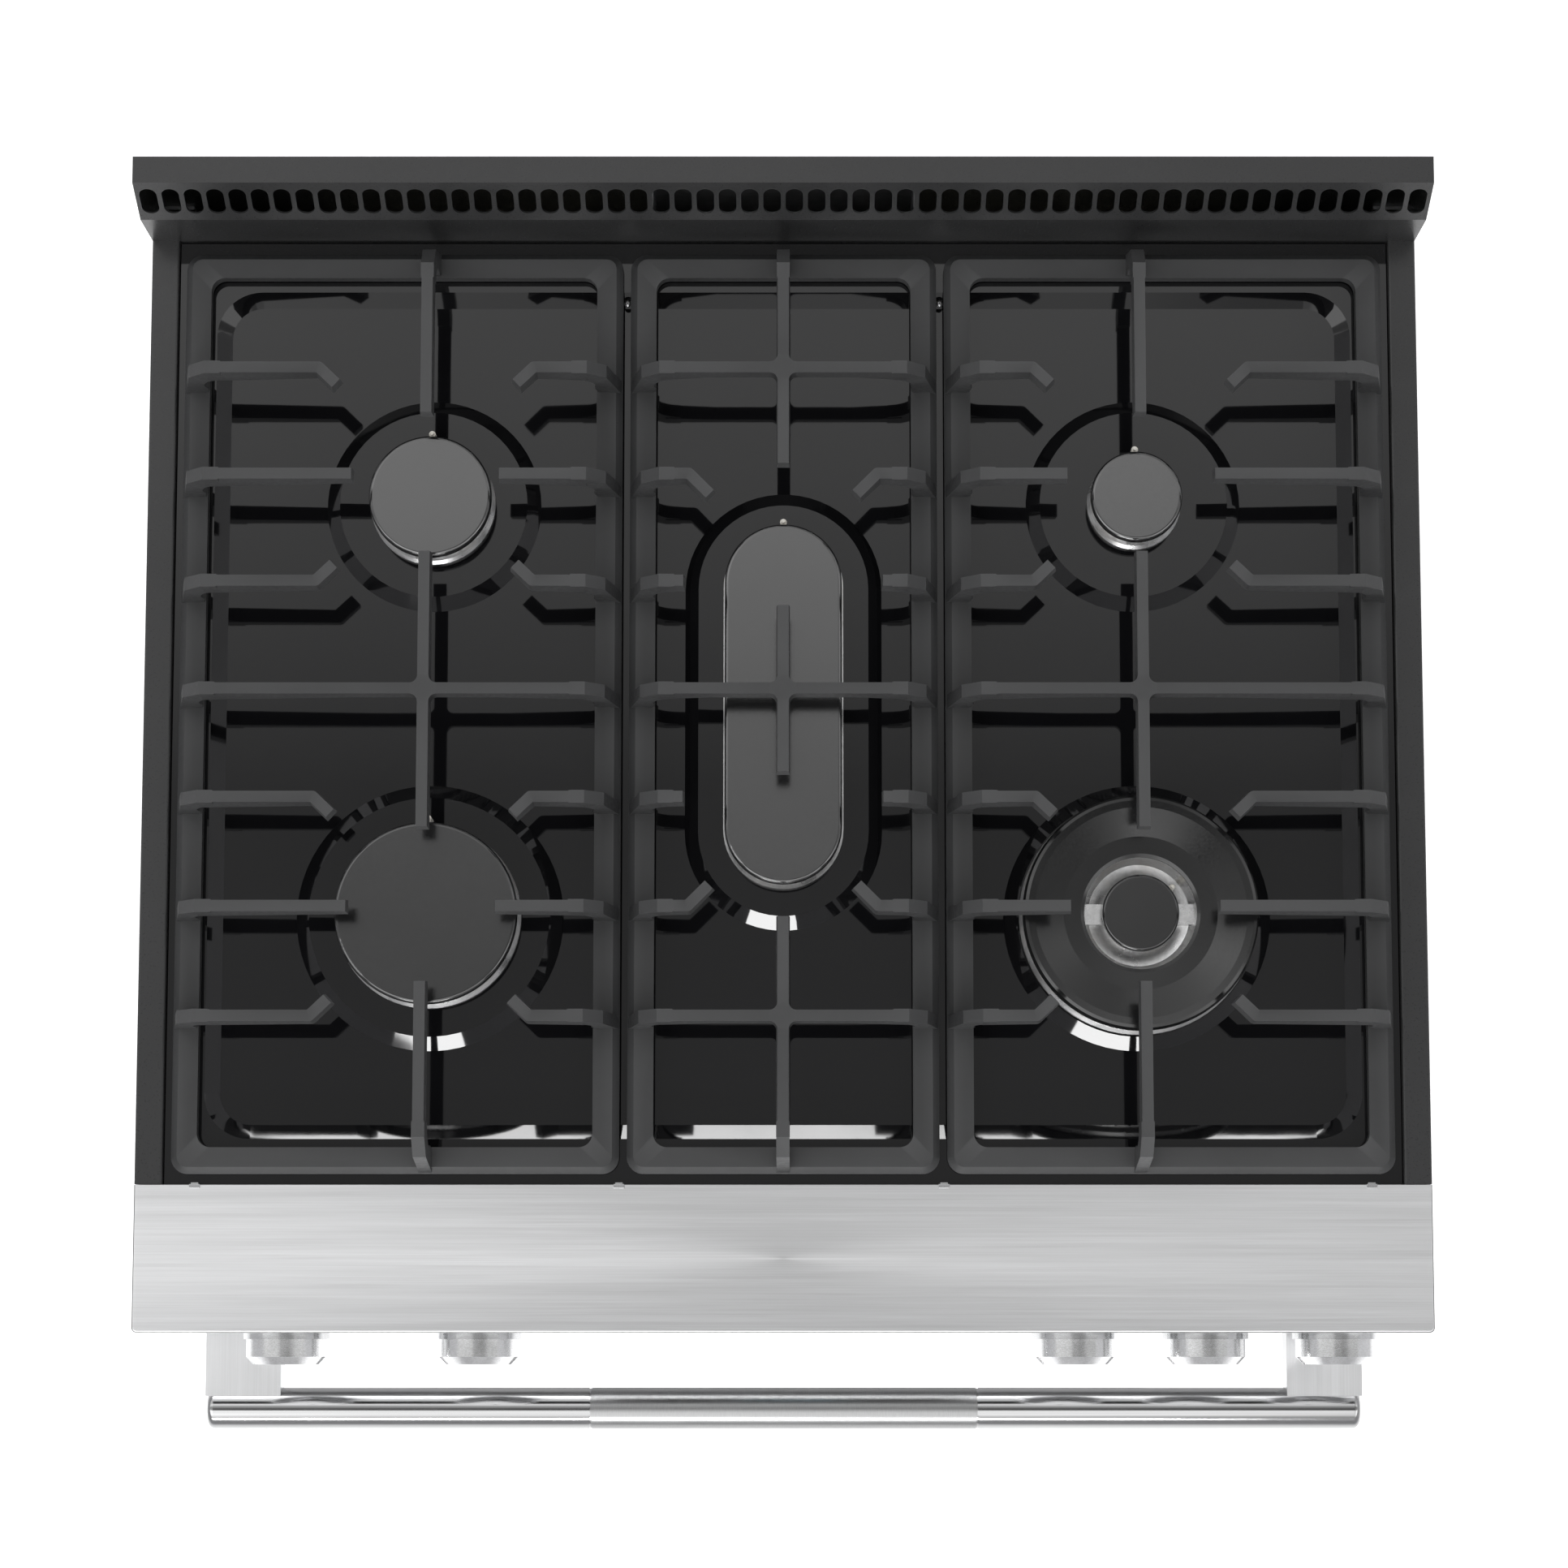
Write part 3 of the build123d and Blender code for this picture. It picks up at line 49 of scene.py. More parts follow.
# ---------------------------------------------------------------- node graph helpers
class Graph:
    """The node tree of a material or the world: it makes nodes, and wires their sockets by name."""

    def __init__(self, owner):
        owner.use_nodes = True
        self.owner, self.tree = owner, owner.node_tree

    def node(self, kind, values=None, **settings):
        made = self.tree.nodes.new(kind)
        for key, value in settings.items():
            setattr(made, key, value)
        for key, value in (values or {}).items():
            self.put(made.inputs[key], value)
        return made

    def put(self, socket, value):
        """Sets a socket to a number or colour, or wires another node's output to it."""
        if isinstance(value, bpy.types.NodeSocket):
            self.tree.links.new(value, socket)
        else:
            socket.default_value = value

    def coords(self, scale=(1, 1, 1)):
        """Places on the piece, at rest, stretched by a scale along each axis."""
        place = self.node("ShaderNodeTexCoord").outputs["Object"]
        return self.node("ShaderNodeMapping", {"Vector": place, "Scale": scale}).outputs["Vector"]

    def noise(self, scale, detail=3.0, stretch=(1, 1, 1), rough=0.5):
        made = self.node(
            "ShaderNodeTexNoise",
            {"Vector": self.coords(stretch), "Scale": scale, "Detail": detail, "Roughness": rough},
        )
        return made.outputs["Fac"]

    def cells(self, scale, output="Distance"):
        """A voronoi pattern: how far the nearest cell's middle is, or each cell's own colour."""
        return self.node("ShaderNodeTexVoronoi", {"Vector": self.coords(), "Scale": scale}).outputs[output]

    def ramp(self, value, low, high, out_low=0.0, out_high=1.0, easing="LINEAR"):
        """Maps low..high of a value onto another span, and holds it there outside."""
        ends = {"From Min": low, "From Max": high, "To Min": out_low, "To Max": out_high}
        made = self.node("ShaderNodeMapRange", {"Value": value, **ends}, interpolation_type=easing)
        return made.outputs["Result"]

    def mix(self, factor, a, b):
        """Mixes two colours."""
        made = self.node("ShaderNodeMix", data_type="RGBA")
        for index, value in ((0, factor), (6, a), (7, b)):
            self.put(made.inputs[index], value if not isinstance(value, tuple) else (*value, 1.0))
        return made.outputs[2]

    def maths(self, operation, *values):
        made = self.node("ShaderNodeMath", operation=operation)
        for socket, value in zip(made.inputs, values):
            self.put(socket, value)
        return made.outputs[0]

    def add(self, a, b):
        return self.maths("ADD", a, b)

    def times(self, a, b):
        return self.maths("MULTIPLY", a, b)

    def bump(self, height, distance, strength):
        made = self.node("ShaderNodeBump", {"Height": height, "Distance": distance, "Strength": strength})
        return made.outputs["Normal"]

    def edge_highlight(self):
        """High on convex edges, where a painted highlight goes."""
        return self.ramp(self.node("ShaderNodeNewGeometry").outputs["Pointiness"], 0.52, 0.62)

    def finish(self, **sockets):
        """Sets or wires the sockets of a material's main shader, and gives back the material."""
        shader = self.tree.nodes["Principled BSDF"]
        for key, value in sockets.items():
            self.put(shader.inputs[key.replace("_", " ")], value)
        return self.owner


def grey(value, tint=0.0):
    """A near-neutral colour: positive tint is bluer."""
    return (value * (1 - tint / 2), value, value * (1 + tint))


# ---------------------------------------------------------------- metals
def brushed_steel(name, tone, along=0, rough=0.30, painted_edge_shade=False):
    """Stainless sheet with fine grain along one axis; it can have painted shade that darkens the faces of its
    upper edges which slope between upright and level.
    """
    g = Graph(bpy.data.materials.new(name))
    fine = [1400.0, 1400.0, 1400.0]
    fine[along] = 9.0
    broad = [160.0, 160.0, 160.0]
    broad[along] = 1.5
    grain = g.noise(1.0, 4.0, tuple(fine), 0.65)
    bands = g.noise(1.0, 2.0, tuple(broad))
    mixed = g.add(g.times(grain, 0.75), g.times(bands, 0.25))
    cloud = g.noise(3.0, 2.0)
    colour = g.mix(g.ramp(mixed, 0.32, 0.68), grey(tone * 0.93, 0.005), grey(tone * 1.05, 0.01))
    colour = g.mix(g.ramp(cloud, 0.35, 0.7, 0.0, 0.2), colour, grey(tone * 0.95, 0.01))
    if painted_edge_shade:
        # painted shade: the colour goes dark on faces that slope between upright and level, by their facing
        # alone
        upward = g.node("ShaderNodeNewGeometry").outputs["Normal"]
        upward = g.node("ShaderNodeSeparateXYZ", {"Vector": upward}).outputs["Z"]
        slope_shade = g.times(g.ramp(upward, 0.05, 0.3), g.ramp(upward, 0.8, 0.98, 1.0, 0.0))
        colour = g.mix(slope_shade, colour, grey(tone * 0.2))
    return g.finish(
        Base_Color=colour, Metallic=1.0, Roughness=g.ramp(mixed, 0.3, 0.7, rough - 0.02, rough + 0.04),
        Normal=g.bump(grain, 0.00001, 0.3), Anisotropic=0.5,
    )


def polished_steel(name, tone=0.72, rough=0.12):
    """Bright drawn or turned steel with faint hairlines and handling haze."""
    g = Graph(bpy.data.materials.new(name))
    hair = g.noise(1.0, 3.0, (6.0, 1400.0, 1400.0), 0.6)
    haze = g.noise(28.0, 4.0)
    colour = g.mix(g.ramp(hair, 0.35, 0.65), grey(tone * 0.93, 0.01), grey(tone * 1.05, 0.01))
    return g.finish(
        Base_Color=colour, Metallic=1.0, Roughness=g.ramp(haze, 0.3, 0.75, rough, rough + 0.1),
        Normal=g.bump(hair, 0.00001, 0.35),
    )


def handle_steel(name, grip_half):
    """Handle tube: polished ends, and a satin middle that reaches grip_half to each side."""
    g = Graph(bpy.data.materials.new(name))
    away = g.maths("ABSOLUTE", g.node("ShaderNodeSeparateXYZ", {"Vector": g.coords()}).outputs["X"])
    satin = g.ramp(away, grip_half - 0.0005, grip_half + 0.0005, 1.0, 0.0)
    along = g.noise(1.0, 3.0, (4.0, 1500.0, 1500.0), 0.6)
    across = g.noise(1.0, 4.0, (2600.0, 300.0, 300.0), 0.65)
    shiny = g.mix(g.ramp(along, 0.35, 0.65), grey(0.40, 0.005), grey(0.45, 0.005))
    dull = g.mix(g.ramp(across, 0.3, 0.7), grey(0.31, 0.005), grey(0.36, 0.005))
    rough = g.add(g.times(satin, 0.2), g.ramp(g.noise(30.0), 0.3, 0.7, 0.1, 0.14))
    return g.finish(
        Base_Color=g.mix(satin, shiny, dull), Metallic=1.0, Roughness=rough,
        Normal=g.bump(g.times(across, satin), 0.00001, 0.25),
    )


def turned_metal(name, tone, rough):
    """Lathe-turned metal of knobs and stems, with fine tool marks closest together along Y."""
    g = Graph(bpy.data.materials.new(name))
    rings = g.noise(1.0, 3.0, (700.0, 1600.0, 700.0), 0.6)
    soft = g.noise(60.0, 2.0)
    colour = g.mix(g.ramp(rings, 0.35, 0.65), grey(tone * 0.9, 0.0), grey(tone * 1.06, 0.01))
    return g.finish(
        Base_Color=colour, Metallic=1.0, Roughness=g.ramp(soft, 0.3, 0.7, rough - 0.04, rough + 0.06),
        Normal=g.bump(rings, 0.00001, 0.4),
    )


def machined_aluminium(name):
    """Burner heads: pale turned aluminium, a little heat-stained."""
    g = Graph(bpy.data.materials.new(name))
    rings = g.noise(1.0, 3.0, (300.0, 300.0, 2600.0), 0.6)
    stain = g.noise(45.0, 4.0)
    colour = g.mix(g.ramp(rings, 0.35, 0.65), grey(0.62, 0.0), grey(0.76, 0.0))
    colour = g.mix(g.ramp(stain, 0.5, 0.75, 0.0, 0.4), colour, (0.45, 0.42, 0.38))
    return g.finish(
        Base_Color=colour, Metallic=1.0, Roughness=g.ramp(stain, 0.3, 0.7, 0.22, 0.38),
        Normal=g.bump(rings, 0.00003, 0.5),
    )


def galvanised(name):
    """Zinc-coated sheet with its crystal pattern."""
    g = Graph(bpy.data.materials.new(name))
    facet = g.node("ShaderNodeSeparateColor", {"Color": g.cells(160.0, "Color")}).outputs["Red"]
    rough = g.add(g.ramp(g.noise(40.0), 0.3, 0.7, 0.34, 0.46), g.times(facet, 0.06))
    return g.finish(
        Base_Color=g.mix(facet, grey(0.36, 0.02), grey(0.44, 0.02)), Metallic=0.9, Roughness=rough,
        Normal=g.bump(g.noise(220.0, 3.0), 0.00003, 0.3),
    )


def brass(name):
    """Cast brass, darker where it is stained."""
    g = Graph(bpy.data.materials.new(name))
    stain = g.noise(70.0, 4.0)
    colour = g.mix(g.ramp(stain, 0.35, 0.7), (0.72, 0.52, 0.2), (0.5, 0.34, 0.13))
    return g.finish(Base_Color=colour, Metallic=1.0, Roughness=g.ramp(stain, 0.3, 0.7, 0.24, 0.42),
                    Normal=g.bump(g.noise(600.0), 0.00002, 0.3))


# ---------------------------------------------------------------- enamels and paints
def cast_enamel(name, tone, rough, grain, depth, edge):
    """Matte enamel over sand-cast iron: pebbled, slightly mottled, with a painted highlight on its edges."""
    g = Graph(bpy.data.materials.new(name))
    sand = g.noise(grain, 5.0, rough=0.6)
    pits = g.cells(grain * 1.7)
    mottle = g.noise(22.0, 4.0)
    colour = g.mix(g.ramp(mottle, 0.3, 0.7), grey(tone * 0.86, 0.02), grey(tone * 1.12, 0.03))
    colour = g.mix(g.ramp(sand, 0.45, 0.75, 0.0, 0.3), colour, grey(tone * 1.35, 0.03))
    # painted highlight: convex edges lighten to over three times the tone, by edge sharpness alone
    colour = g.mix(g.times(g.edge_highlight(), edge), colour, grey(tone * 3.2, 0.02))
    height = g.add(g.times(sand, 0.7), g.times(pits, 0.3))
    return g.finish(
        Base_Color=colour, Roughness=g.ramp(sand, 0.3, 0.7, rough - 0.06, rough + 0.1),
        Specular_IOR_Level=0.42, Normal=g.bump(height, depth, 0.55),
    )


def cap_enamel(name, index=2.15):
    """Semi-gloss black enamel on burner caps: smooth enough to show soft reflections."""
    g = Graph(bpy.data.materials.new(name))
    sand = g.noise(700.0, 4.0)
    mottle = g.noise(16.0, 4.0)
    colour = g.mix(g.ramp(mottle, 0.3, 0.7), grey(0.005, 0.02), grey(0.009, 0.03))
    return g.finish(Base_Color=colour, IOR=index, Roughness=g.ramp(sand, 0.3, 0.7, 0.13, 0.2),
                    Normal=g.bump(sand, 0.00002, 0.3))


def gloss_porcelain(name):
    """Deep black vitreous enamel: mirror-like, with a trace of orange peel."""
    g = Graph(bpy.data.materials.new(name))
    peel = g.noise(55.0, 2.0)
    specks = g.ramp(g.noise(900.0, 2.0), 0.72, 0.78)
    colour = g.mix(g.times(specks, 0.25), (0.0035, 0.0035, 0.004), (0.03, 0.03, 0.032))
    return g.finish(
        Base_Color=colour, Roughness=g.ramp(g.noise(18.0, 3.0), 0.3, 0.7, 0.035, 0.06),
        Specular_IOR_Level=0.5, Normal=g.bump(peel, 0.00004, 0.25),
    )


def satin_paint(name, tone, rough):
    """Powder-coated sheet with a fine, even texture."""
    g = Graph(bpy.data.materials.new(name))
    skin = g.noise(900.0, 3.0)
    cloud = g.noise(5.0, 3.0)
    colour = g.mix(g.ramp(cloud, 0.3, 0.7), grey(tone * 0.9, 0.02), grey(tone * 1.12, 0.02))
    return g.finish(
        Base_Color=colour, Roughness=g.ramp(skin, 0.3, 0.7, rough - 0.04, rough + 0.05),
        Normal=g.bump(skin, 0.00004, 0.4),
    )


def speckled_enamel(name):
    """Dark blue oven enamel with pale flecks."""
    g = Graph(bpy.data.materials.new(name))
    flecks = g.ramp(g.noise(700.0, 2.0), 0.62, 0.66)
    colour = g.mix(flecks, (0.012, 0.016, 0.03), (0.28, 0.3, 0.34))
    return g.finish(Base_Color=colour, Roughness=g.ramp(g.noise(25.0), 0.3, 0.7, 0.14, 0.26),
                    Normal=g.bump(g.noise(60.0), 0.00008, 0.3))


def moulded(name, tone, rough=0.5):
    """Dark moulded plastic with a fine matt skin."""
    g = Graph(bpy.data.materials.new(name))
    skin = g.noise(1100.0, 3.0)
    colour = g.mix(g.ramp(g.noise(30.0), 0.3, 0.7), grey(tone * 0.9), grey(tone * 1.1))
    return g.finish(Base_Color=colour, Roughness=g.ramp(skin, 0.3, 0.7, rough - 0.05, rough + 0.07),
                    Normal=g.bump(skin, 0.00006, 0.5))


def black_glass(name):
    """Black glass with a faint smear in its gloss."""
    g = Graph(bpy.data.materials.new(name))
    smear = g.noise(9.0, 4.0)
    colour = g.mix(g.ramp(smear, 0.4, 0.7), grey(0.004), grey(0.008))
    return g.finish(Base_Color=colour, Roughness=g.ramp(smear, 0.35, 0.7, 0.03, 0.07), Specular_IOR_Level=0.5,
                    Normal=g.bump(g.noise(12.0), 0.00002, 0.1))


def tinted_glass(name, tone, alpha):
    """Window glass: dark tint, partly see-through, with a faint smear in its gloss."""
    g = Graph(bpy.data.materials.new(name))
    smear = g.noise(8.0, 3.0)
    colour = g.mix(g.ramp(smear, 0.3, 0.7), grey(tone, 0.05), grey(tone * 1.4, 0.05))
    return g.finish(Base_Color=colour, Alpha=alpha, Roughness=g.ramp(smear, 0.3, 0.7, 0.03, 0.08),
                    Specular_IOR_Level=0.5)


def wool(name):
    """Mineral wool: pale yellow fibres, all matt."""
    g = Graph(bpy.data.materials.new(name))
    fibres = g.noise(1.0, 6.0, (260.0, 60.0, 900.0), 0.7)
    colour = g.mix(g.ramp(fibres, 0.35, 0.65), (0.55, 0.5, 0.34), (0.78, 0.73, 0.56))
    return g.finish(Base_Color=colour, Roughness=0.95, Normal=g.bump(fibres, 0.002, 0.8), Sheen_Weight=0.3)


def woven_gasket(name):
    """Grey glass-fibre braid."""
    g = Graph(bpy.data.materials.new(name))
    weave = g.node("ShaderNodeTexWave", {"Vector": g.coords(), "Scale": 260.0, "Distortion": 2.0},
                   bands_direction="DIAGONAL").outputs["Fac"]
    colour = g.mix(weave, grey(0.1), grey(0.28))
    return g.finish(Base_Color=colour, Roughness=0.85, Normal=g.bump(weave, 0.0006, 0.8))


def ceramic(name):
    """Off-white glazed ceramic."""
    g = Graph(bpy.data.materials.new(name))
    colour = g.mix(g.ramp(g.noise(300.0), 0.4, 0.7), (0.82, 0.8, 0.74), (0.66, 0.62, 0.55))
    return g.finish(Base_Color=colour, Roughness=g.ramp(g.noise(80.0), 0.3, 0.7, 0.22, 0.4))


def glow(name, colour, strength):
    """Lit segments behind dark glass."""
    g = Graph(bpy.data.materials.new(name))
    flicker = g.ramp(g.noise(900.0), 0.3, 0.7, strength * 0.85, strength)
    return g.finish(Base_Color=(0.02, 0.02, 0.02, 1), Emission_Color=(*colour, 1), Emission_Strength=flicker,
                    Roughness=0.2)


def ink(name, tone):
    """Printed mark."""
    g = Graph(bpy.data.materials.new(name))
    return g.finish(Base_Color=g.mix(g.noise(1500.0), grey(tone * 0.8), grey(tone * 1.1)), Roughness=0.45)


# ---------------------------------------------------------------- a finish for each CAD node
GRIP_HALF = 0.1185  # from the middle of the handle to the groove at each end of its satin grip
LOOKS = {
    "galvanised_steel": galvanised("zinc_sheet"),
    "black_casing": satin_paint("satin_black", 0.022, 0.3),
    "brushed_steel": brushed_steel("brushed_sheet", 0.7),
    "porcelain": gloss_porcelain("pan_porcelain"),
    "oven_enamel": speckled_enamel("oven_speckle"),
    "display_glass": black_glass("display_gloss"),
    "window_glass": tinted_glass("window_tint", 0.008, 0.4),
    "burner_aluminium": machined_aluminium("head_aluminium"),
    "cap_enamel": cap_enamel("cap_satin"),
    "grate_iron": cast_enamel("grate_matte", 0.028, 0.5, 300.0, 0.00012, 0.35),
    "electrode_ceramic": ceramic("electrode_white"),
    "knob_metal": turned_metal("knob_turned", 0.85, 0.18),
    "polished_steel": polished_steel("steel_polish"),
    "stem_steel": turned_metal("stem_turned", 0.5, 0.3),
    "valve_brass": brass("valve_brass_cast"),
    "gas_pipe": galvanised("pipe_zinc"),
    "feed_aluminium": polished_steel("feed_drawn", 0.62, 0.3),
    "mineral_wool": wool("wool_blanket"),
    "burner_steel": galvanised("burner_tube"),
    "rack_chrome": polished_steel("rack_wire", 0.7, 0.14),
    "lamp_glass": tinted_glass("lamp_clear", 0.8, 0.5),
    "gasket": woven_gasket("seal_weave"),
    "inlet_plastic": moulded("inlet_black", 0.02),
    "foot_plastic": moulded("foot_black", 0.03),
}


def dress(node, material):
    """Gives a CAD node one material, in every slot it has."""
    slots = NODES[node].data.materials
    if not slots:
        slots.append(material)
    for index in range(len(slots)):
        slots[index] = material


for part in frame["record"]["subparts"]:
    dress(part["node"], LOOKS[part["material_slot"]])
dress("handle_tube", handle_steel("handle_tube_steel", GRIP_HALF))
# painted light: the ledge is the same stainless as the panel, with its tone raised from 0.7 to 0.86 to look
# brighter; its sloped edges get painted shade
dress("front_ledge", brushed_steel("ledge_brushed_lit", 0.86, painted_edge_shade=True))
dress("handle_brackets", brushed_steel("bracket_satin", 0.84, 1, 0.34))
FRONT_STEEL = brushed_steel("front_brushed", 0.42)
dress("door_frame", FRONT_STEEL)
dress("drawer_front", FRONT_STEEL)
dress("kick_panel", satin_paint("toe_black", 0.03, 0.4))
dress("cap_rf_ring", cap_enamel("ring_satin", 1.6))
dress("cap_rf_centre", cap_enamel("button_satin", 1.75))
dress("cap_lf", cap_enamel("front_cap_satin", 1.9))


# ---------------------------------------------------------------- softened edges on CAD nodes
def soften(node, width, angle):
    """Rounds a CAD node's edges, where they turn by more than an angle in degrees."""
    bevel = NODES[node].modifiers.new("soft_edges", "BEVEL")
    bevel.width, bevel.segments = width, 2
    bevel.limit_method = "ANGLE"
    bevel.angle_limit = math.radians(angle)


for sheet in ("front_ledge", "handle_brackets", "control_panel"):
    soften(sheet, 0.0005, 35)
for casting in ("grate_left", "grate_centre", "grate_right"):
    soften(casting, 0.0007, 40)


# ---------------------------------------------------------------- small pieces built in mesh code
def new_object(name, mesh, material):
    """Turns a bmesh into an object with one material."""
    data = bpy.data.meshes.new(name)
    mesh.to_mesh(data)
    mesh.free()
    data.materials.append(material)
    made = bpy.data.objects.new(name, data)
    bpy.context.collection.objects.link(made)
    return made


def new_piece(name, mesh, material, body, bevel=0.0):
    """Turns a bmesh into a piece that rides on a body."""
    piece = new_object(name, mesh, material)
    if bevel:
        soft = piece.modifiers.new("soft_edges", "BEVEL")
        soft.width, soft.segments = bevel, 3
        soft.limit_method = "ANGLE"
    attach(piece, body)


def add_box(mesh, centre, size, frame_at=Matrix()):
    """Adds a box to a mesh, with its centre and size along the axes of a placed frame."""
    place = frame_at @ Matrix.Translation(centre) @ Matrix.Diagonal((*size, 1))
    bmesh.ops.create_cube(mesh, size=1.0, matrix=place)


def add_turned(mesh, outline, steps, place=Matrix(), lid=True):
    """Adds a turned shape: (radius, height) points about a local Z axis, with a bottom and a lid."""
    rings = []
    for radius, height in outline:
        angles = [2 * math.pi * i / steps for i in range(steps)]
        points = [Vector((radius * math.cos(a), radius * math.sin(a), height)) for a in angles]
        rings.append([mesh.verts.new(place @ point) for point in points])
    for low, high in zip(rings, rings[1:]):
        for i in range(steps):
            j = (i + 1) % steps
            mesh.faces.new((low[i], low[j], high[j], high[i])).smooth = True
    mesh.faces.new(list(reversed(rings[0])))
    if lid:
        mesh.faces.new(rings[-1])


def edge(node, corner, axis):
    """One coordinate of a CAD node's box: corner 0 is the low side and 1 the high side."""
    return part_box(node)[corner][axis]


def middle_of(node):
    low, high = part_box(node)
    return (low + high) / 2


FACING_BACK = Matrix.Rotation(math.radians(-90), 4, "X")
FACING_FRONT = Matrix.Rotation(math.radians(90), 4, "X")
FACING_LEFT = Matrix.Rotation(math.radians(-90), 4, "Y")
FACING_RIGHT = Matrix.Rotation(math.radians(90), 4, "Y")
# a screw head's dome, as shares of its radius: out from the axis and up from the sheet
SCREW_DOME = ((1.0, 0.0), (1.0, 0.18), (0.85, 0.42), (0.5, 0.58), (0.2, 0.62))


def screws(name, places, facing, radius):
    """Domed screw heads on the body, flat side on the sheet, each with a black cross of painted shade where
    its cross-head socket is, turned anyhow.
    """
    dome = [(radius * out, radius * up) for out, up in SCREW_DOME]
    heads = bmesh.new()
    recess_shade = bmesh.new()
    for place in places:
        at = Matrix.Translation(place) @ facing
        add_turned(heads, dome, 20, at)
        # the cross is a black box set into the dome: painted shade where the socket's hollow would be
        turned = random.uniform(0, math.pi)
        for angle in (turned, turned + math.pi / 2):
            arm = at @ Matrix.Rotation(angle, 4, "Z")
            add_box(recess_shade, (0, 0, radius * 0.5), (radius * 1.05, radius * 0.22, radius * 0.26), arm)
    new_piece(name, heads, LOOKS["stem_steel"], "body")
    new_piece(name + "_recess", recess_shade, LOOKS["inlet_plastic"], "body")


LEDGE_FRONT = edge("front_ledge", 0, 1)
TAB_X = (-0.344, -0.096, 0.094, 0.344)


def ledge_tabs():
    """Spring tabs that hold the ledge down along its rear edge."""
    rear, top = edge("front_ledge", 1, 1), edge("front_ledge", 1, 2)
    tabs = bmesh.new()
    for x in TAB_X:
        add_box(tabs, (x, rear - 0.0008, top + 0.0004), (0.0065, 0.0026, 0.0012))
        add_box(tabs, (x, rear + 0.0006, top - 0.0006), (0.0045, 0.0016, 0.0026))
    new_piece("ledge_tabs", tabs, LOOKS["polished_steel"], "body", 0.0003)


def pan_screws():
    """Two screws at the back of the pan, in the gaps between the grates."""
    y, top = edge("cooktop_pan", 1, 1) - 0.037, edge("cooktop_pan", 1, 2)
    screws("pan_screws", [(x, y, top - 0.0001) for x in (-0.0937, 0.0937)], Matrix(), 0.0021)


COVER_REAR = edge("rear_cover", 1, 1)


def casing_screws():
    """Screws round the rear cover, and up the rear edge of each side panel."""
    low, high = edge("rear_cover", 0, 2), edge("rear_cover", 1, 2)
    x = edge("rear_cover", 1, 0) - 0.012
    rows = [low + 0.03 + (high - low - 0.05) * i / 5 for i in range(6)]
    spots = [(side * x, COVER_REAR, z) for side in (-1, 1) for z in rows]
    spots += [(x, COVER_REAR, z) for x in (-0.22, 0.0, 0.22) for z in (rows[0] - 0.015, rows[-1])]
    screws("cover_screws", spots, FACING_BACK, 0.004)
    out = edge("side_panels", 1, 0) - 0.0002
    for side, facing, name in ((-1, FACING_LEFT, "left_screws"), (1, FACING_RIGHT, "right_screws")):
        screws(name, [(side * out, COVER_REAR - 0.016, z) for z in rows], facing, 0.0036)


def rating_plate():
    """Blank plate on the rear cover, riveted at its corners."""
    x, z, wide, tall, thick, inset = 0.21, 0.40, 0.11, 0.07, 0.0008, 0.005
    plate = bmesh.new()
    add_box(plate, (x, COVER_REAR + thick / 2, z), (wide, thick, tall))
    rivet = [(0.0022, 0.0), (0.0022, 0.0006), (0.0012, 0.0012)]
    for right in (inset - wide / 2, wide / 2 - inset):
        for up in (inset - tall / 2, tall / 2 - inset):
            spot = (x + right, COVER_REAR + thick, z + up)
            add_turned(plate, rivet, 16, Matrix.Translation(spot) @ FACING_BACK)
    new_piece("rating_plate", plate, brushed_steel("plate_satin", 0.6), "body", 0.0003)


# ---------------------------------------------------------------- control panel markings
KNOBS = ("lr", "lf", "c", "rf", "rr")
GLASS_FRONT, GLASS_MID_Z = edge("oven_control", 0, 1), middle_of("oven_control").z
# the lit segments of each clock digit, and each segment's place: right, up, and whether it lies flat
SEGMENTS = {"0": "abcdef", "1": "bc", "2": "abged"}
SEGMENT_AT = {"a": (0, 1, 1), "b": (1, 0.5, 0), "c": (1, -0.5, 0), "d": (0, -1, 1), "e": (-1, -0.5, 0),
              "f": (-1, 0.5, 0), "g": (0, 0, 1)}
STROKE, DIGIT_HALF, DIGIT_RISE = 0.0014, 0.0041, 0.0078


def clock_digits():
    """Seven-segment clock reading twelve o'clock, just proud of the display glass."""
    y, skin = GLASS_FRONT - 0.0001, 0.0005
    digits = bmesh.new()
    for index, digit in enumerate("1200"):
        middle = -0.0255 + 0.0145 * index + (0.0075 if index > 1 else 0.0)
        for key in SEGMENTS[digit]:
            right, up, flat = SEGMENT_AT[key]
            size = (0.0062, skin, STROKE) if flat else (STROKE, skin, 0.0066)
            add_box(digits, (middle + right * DIGIT_HALF, y, GLASS_MID_Z + up * DIGIT_RISE), size)
    for up in (-0.0034, 0.0034):
        add_box(digits, (-0.0002, y, GLASS_MID_Z + up), (STROKE, skin, STROKE))
    new_piece("clock_digits", digits, glow("clock_glow", (0.55, 0.85, 1.0), 3.0), "body")


def touch_keys():
    """Rings with a dot in each, either side of the clock."""
    ring = [(0.0048, 0.0), (0.0048, 0.0004), (0.0041, 0.0004), (0.0041, 0.0)]
    keys = bmesh.new()
    for side in (-1, 1):
        for column in (0.05, 0.068, 0.086):
            for row in (-0.0105, 0.0105):
                spot = (side * column, GLASS_FRONT + 0.0002, GLASS_MID_Z + row)
                at = Matrix.Translation(spot) @ FACING_FRONT
                add_turned(keys, ring, 32, at)
                add_turned(keys, [(0.0011, 0.0), (0.0011, 0.0004)], 16, at)
    new_piece("touch_keys", keys, ink("key_print", 0.6), "body")


